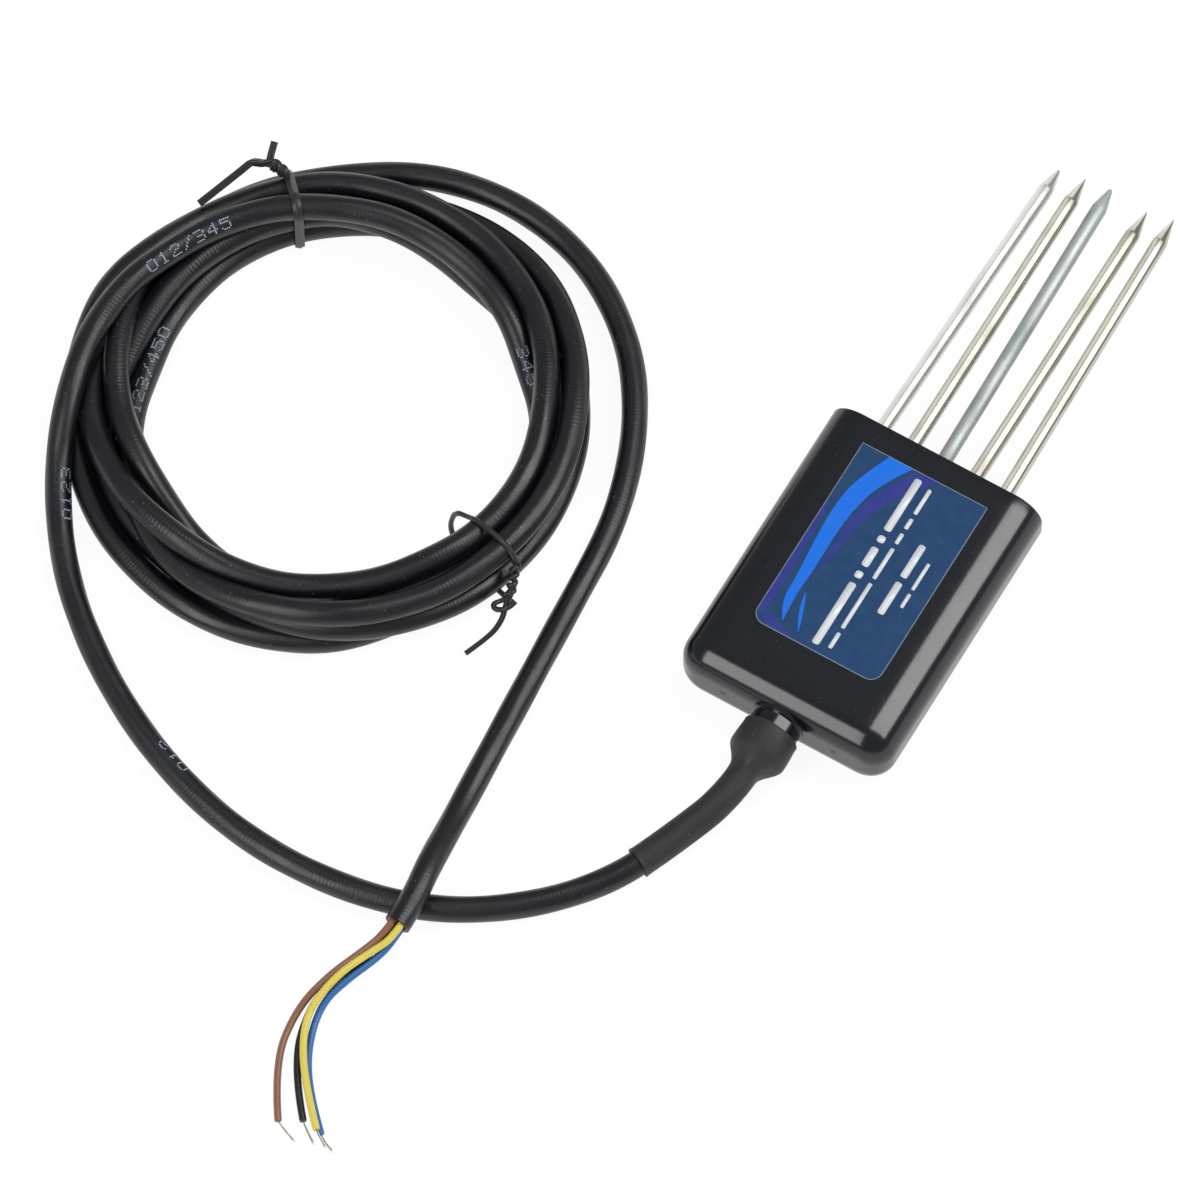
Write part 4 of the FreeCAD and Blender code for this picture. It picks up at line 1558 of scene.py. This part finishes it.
@dataclass
class Probes:
    """The five rods."""

    radius: float = 1.5
    pitch: float = 6.7
    rim_y: float = 30.0
    potting_y: float = 29.4
    mid_z: float = 7.5
    reach: tuple = (66.3, 67.2, 67.7, 67.0, 68.2)
    toe: tuple = (1.6, 0.3, -0.9, 0.4, -0.9)
    taper: tuple = (4.8, 5.6, 4.6, 5.6, 5.6)
    nose: tuple = (0.45, 0.12, 0.48, 0.12, 0.12)
    looks: tuple = (Look.SATIN, Look.STEEL, Look.GREY, Look.STEEL, Look.STEEL)

    def places(self) -> list[tuple[float, float]]:
        """The x and the radius of each rod where it leaves the resin."""
        return [((k - 2) * self.pitch, self.radius) for k in range(len(self.reach))]

    def build(self, k: int) -> Piece:
        """Rod number k: a straight rod, a turned point and a round nose.

        The rod leans by its toe angle t about the point where it leaves the resin:
        x' = x + (y - y0) tan t, to the first order, as the CAD turns it.

        Args:
            k: Its number, from 0.

        Returns:
            The rod.
        """
        tip, nose = self.rim_y + self.reach[k], self.nose[k]
        shoulder = tip - self.taper[k]
        back = self.potting_y - 13.9
        straight = [(self.radius, y) for y in np.linspace(self.potting_y - 1.5, shoulder - 0.1, 20)]
        cone = [(self.radius - 0.03, shoulder + 0.08)]
        cone += [(self.radius + (nose - self.radius) * s, shoulder + (tip - nose - shoulder) * s)
                 for s in np.linspace(0.04, 1, 8)]
        round_nose = [(nose * np.cos(a), tip - nose + nose * np.sin(a))
                      for a in np.radians((25, 50, 72))] + [(0.004, tip)]
        outline = np.array([(0.02, back), (1.2, back), (1.2, self.potting_y - 1.5)]
                           + straight + cone + round_nose)
        x = (k - 2) * self.pitch
        piece = lathe("probe_%d_rod" % (k + 1), outline, 48, (x, self.mid_z), sharp=25)
        points = np.empty(len(piece.data.vertices) * 3)
        piece.data.vertices.foreach_get("co", points)
        points = points.reshape(-1, 3)
        pivot = np.array([x, self.potting_y, self.mid_z]) * MM
        turn = np.radians(self.toe[k])
        dx, dy = (points - pivot)[:, 0].copy(), (points - pivot)[:, 1].copy()
        points[:, 0] = pivot[0] + dx * np.cos(turn) + dy * np.sin(turn)
        points[:, 1] = pivot[1] - dx * np.sin(turn) + dy * np.cos(turn)
        piece.data.vertices.foreach_set("co", points.ravel())
        piece.data.update()
        return seat(piece, self.looks[k], "probe_%d" % (k + 1))


# ---------------------------------------------------------------- the studio


@dataclass
class Studio:
    """A plain pale floor, a dim room, soft lamps and the camera. All sizes are in metres."""

    eye: tuple = (0.4778, -0.9087, 2.2334)
    looks_at: tuple = (-0.04294, -0.0221, 0.0)
    lens: float = 393.8
    floor_half: float = 9.0
    floor_drop: float = 2e-5
    floor_share: float = 0.88
    floor_white: float = 1.05
    wall_heights: tuple = (0.04, 0.08)
    room_level: float = 0.3
    rods_middle: tuple = (0.0, 0.065, 0.008)

    def camera(self) -> None:
        """The camera, level, looking down at the part."""
        data = bpy.data.cameras.new("camera")
        data.lens, data.sensor_width, data.sensor_fit = self.lens, 36.0, "HORIZONTAL"
        data.clip_start, data.clip_end = 0.1, 50.0
        camera = bpy.data.objects.new("camera", data)
        camera.location = self.eye
        way = Vector(self.looks_at) - Vector(self.eye)
        camera.rotation_euler = way.to_track_quat("-Z", "Y").to_euler()
        bpy.context.scene.collection.objects.link(camera)
        bpy.context.scene.camera = camera

    def lamp(self, name: str, low: tuple, high: tuple, width: float, radiance: float,
             offset: float = 0.0, target: tuple = (-0.03, -0.02, 0.0),
             distance: float = 1.5, only: bpy.types.Collection | None = None) -> None:
        """A softbox that fills the sky between two directions, as seen from the part.

        Args:
            name: The lamp's name.
            low: Direction of the middle of its lower edge.
            high: Direction of the middle of its upper edge.
            width: Its width in metres.
            radiance: Its brightness, where 1 is white.
            offset: How far it is moved sideways, in metres.
            target: Where the directions start.
            distance: How far away its edges are, in metres.
            only: The pieces it lights, or None for all.
        """
        target = Vector(target)
        edges = [target + Vector(way).normalized() * distance for way in (low, high)]
        middle = (edges[0] + edges[1]) / 2
        data = bpy.data.lights.new(name, "AREA")
        data.shape = "RECTANGLE"
        data.size, data.size_y = width, (edges[1] - edges[0]).length
        data.energy = radiance * np.pi * data.size * data.size_y
        lamp = bpy.data.objects.new(name, data)
        up = (edges[1] - edges[0]).normalized()
        back = (middle - target).normalized()
        back = (back - up * back.dot(up)).normalized()
        side = up.cross(back)
        middle += side * offset
        lamp.matrix_world = (Matrix.Translation(middle)
                             @ Matrix((side, up, back)).transposed().to_4x4())
        lamp.light_linking.receiver_collection = only
        bpy.context.scene.collection.objects.link(lamp)

    def floor(self) -> None:
        """The pale floor: its own colour to the eye and in reflections, and it takes shadow."""
        half = self.floor_half
        corners = [(x, y, -self.floor_drop) for x, y in
                   ((-half, -half), (half, -half), (half, half), (-half, half))]
        mesh = bpy.data.meshes.new("floor")
        mesh.from_pydata(corners, [], [[0, 1, 2, 3]])
        floor = bpy.data.objects.new("floor", mesh)
        bpy.context.scene.collection.objects.link(floor)
        material = bpy.data.materials.new("pale_floor")
        material.use_nodes = True
        tree = material.node_tree
        tree.nodes.clear()
        paths = add(tree, "LightPath").node.outputs
        seen = add(tree, "Math", (paths["Is Camera Ray"], paths["Is Glossy Ray"]),
                   operation="ADD")
        seen = add(tree, "Math", (seen, paths["Is Transmission Ray"]), operation="ADD",
                   use_clamp=True)
        share = add(tree, "Math", (seen, self.floor_share), operation="MULTIPLY")
        paint = add(tree, "BsdfDiffuse", {"Color": (0.9, 0.9, 0.9, 1)})
        white = add(tree, "Emission", {"Color": (1, 1, 1, 1), "Strength": self.floor_white})
        add(tree, "OutputMaterial", (add(tree, "MixShader", (share, paint, white)),))
        mesh.materials.append(material)

    def sky(self) -> None:
        """A dim grey room above a pale low wall, by the height of the direction looked in."""
        world = bpy.data.worlds.new("studio")
        world.use_nodes = True
        tree = world.node_tree
        tree.nodes.clear()
        height = add(tree, "SeparateXYZ", (add(tree, "TexCoord", output="Generated"),), 2)
        level = add(tree, "MapRange", (height, *self.wall_heights, 1.0, self.room_level))
        add(tree, "OutputWorld", (add(tree, "Background", {"Color": (1, 1, 1, 1),
                                                           "Strength": level}),))
        bpy.context.scene.world = world

    def build(self, rods: list[Piece]) -> None:
        """Everything round the part. The rods, which would mirror the dim room, have three
        lamps of their own: a grey one low to the left, a white one overhead, and one behind
        the points. The lamp to the right, too bright for a mirror, lights of the rods only
        the dull grey one.

        Args:
            rods: The rods.
        """
        bpy.context.scene.view_settings.view_transform = "Standard"
        self.camera()
        self.floor()
        self.sky()
        all_rods, all_but_mirrors = (bpy.data.collections.new(name) for name in
                                     ("lamps_for_rods", "lamps_not_for_rods"))
        for rod in rods:
            all_rods.objects.link(rod)
            if rod.data.materials[0].name != Look.GREY.value[0].name:
                all_but_mirrors.objects.link(rod)
        for item in all_but_mirrors.collection_objects:
            item.light_linking.link_state = "EXCLUDE"
        self.lamp("softbox_cable_side", (-0.212, -0.926, 0.313), (-0.212, -0.308, 0.928),
                  0.42, 4.5)
        self.lamp("softbox_right", (0.815, 0.361, 0.452), (0.0, 0.361, 0.932), 0.36, 6.0,
                  offset=-0.03, only=all_but_mirrors)
        for name, low, high, width, radiance in (
                ("softbox_rods_left", (-0.932, 0.361, 0.03), (-0.438, 0.361, 0.823), 0.5, 0.78),
                ("softbox_rods_top", (-0.273, 0.361, 0.892), (0.755, 0.361, 0.548), 0.4, 1.8),
                ("softbox_points", (-0.76, 0.64, 0.1), (-0.06, 0.76, 0.64), 0.3, 1.05)):
            self.lamp(name, low, high, width, radiance, target=self.rods_middle, only=all_rods)


def dress_inside() -> None:
    """Give the CAD nodes inside the resin their finishes."""
    looks = {"circuit_board": Look.LAMINATE, "microcontroller": Look.CHIP,
             "bus_transceiver": Look.CHIP, "voltage_regulator": Look.CHIP, "crystal": Look.CAN,
             "capacitors": Look.CAN, "resistors": Look.CERAMIC, "solder_joints": Look.SOLDER,
             "thermistor": Look.BEAD, "thermistor_wires": Look.COPPER,
             "potting_compound": Look.RESIN}
    looks.update({"inner_core_" + colour: look for colour, look in wire_looks().items()})
    nodes = bpy.data.objects
    for name, look in looks.items():
        node = nodes[name]
        node.data.materials.clear()
        node.data.materials.append(look.value[0].material())
        LOG.info("%s: CAD node, %s", name, look.value[0].name)


def wire_looks() -> dict[str, Look]:
    """The finish of each wire."""
    return {"brown": Look.BROWN, "yellow": Look.YELLOW, "black": Look.BLACK, "blue": Look.BLUE}


def main() -> None:
    """Build the studio, the lead and the sensor."""
    logging.basicConfig(level=logging.INFO, format="%(name)s %(message)s")
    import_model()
    cable = Cable()
    sheath = cable.build()
    on_cable = [Sleeve(cable).build()]
    ink = CablePrint(cable)
    for number, (text, start, tilt) in enumerate((
            ("012/345", 241.0, 62.0), ("123/450", 1037.0, 80.0), ("0123", 187.0, 50.0),
            ("012", 129.0, 50.0), ("345", 328.0, 82.0))):
        on_cable.append(ink.build("cable_print_%d" % (number + 1), text, start, tilt))
    on_cable += Ties(cable).build()
    wires = Wires(cable)
    for colour, look in wire_looks().items():
        wires.build(colour, look)

    housing = Housing()
    housing.body()
    housing.neck()
    housing.pip(-11.8, "gate_pip_left")
    housing.pip(11.8, "gate_pip_right")
    probes = Probes()
    housing.resin(probes.places())
    rods = [probes.build(number) for number in range(len(probes.reach))]
    Studio().build(rods)
    Label().build()
    dress_inside()


if __name__ == "__main__":
    main()
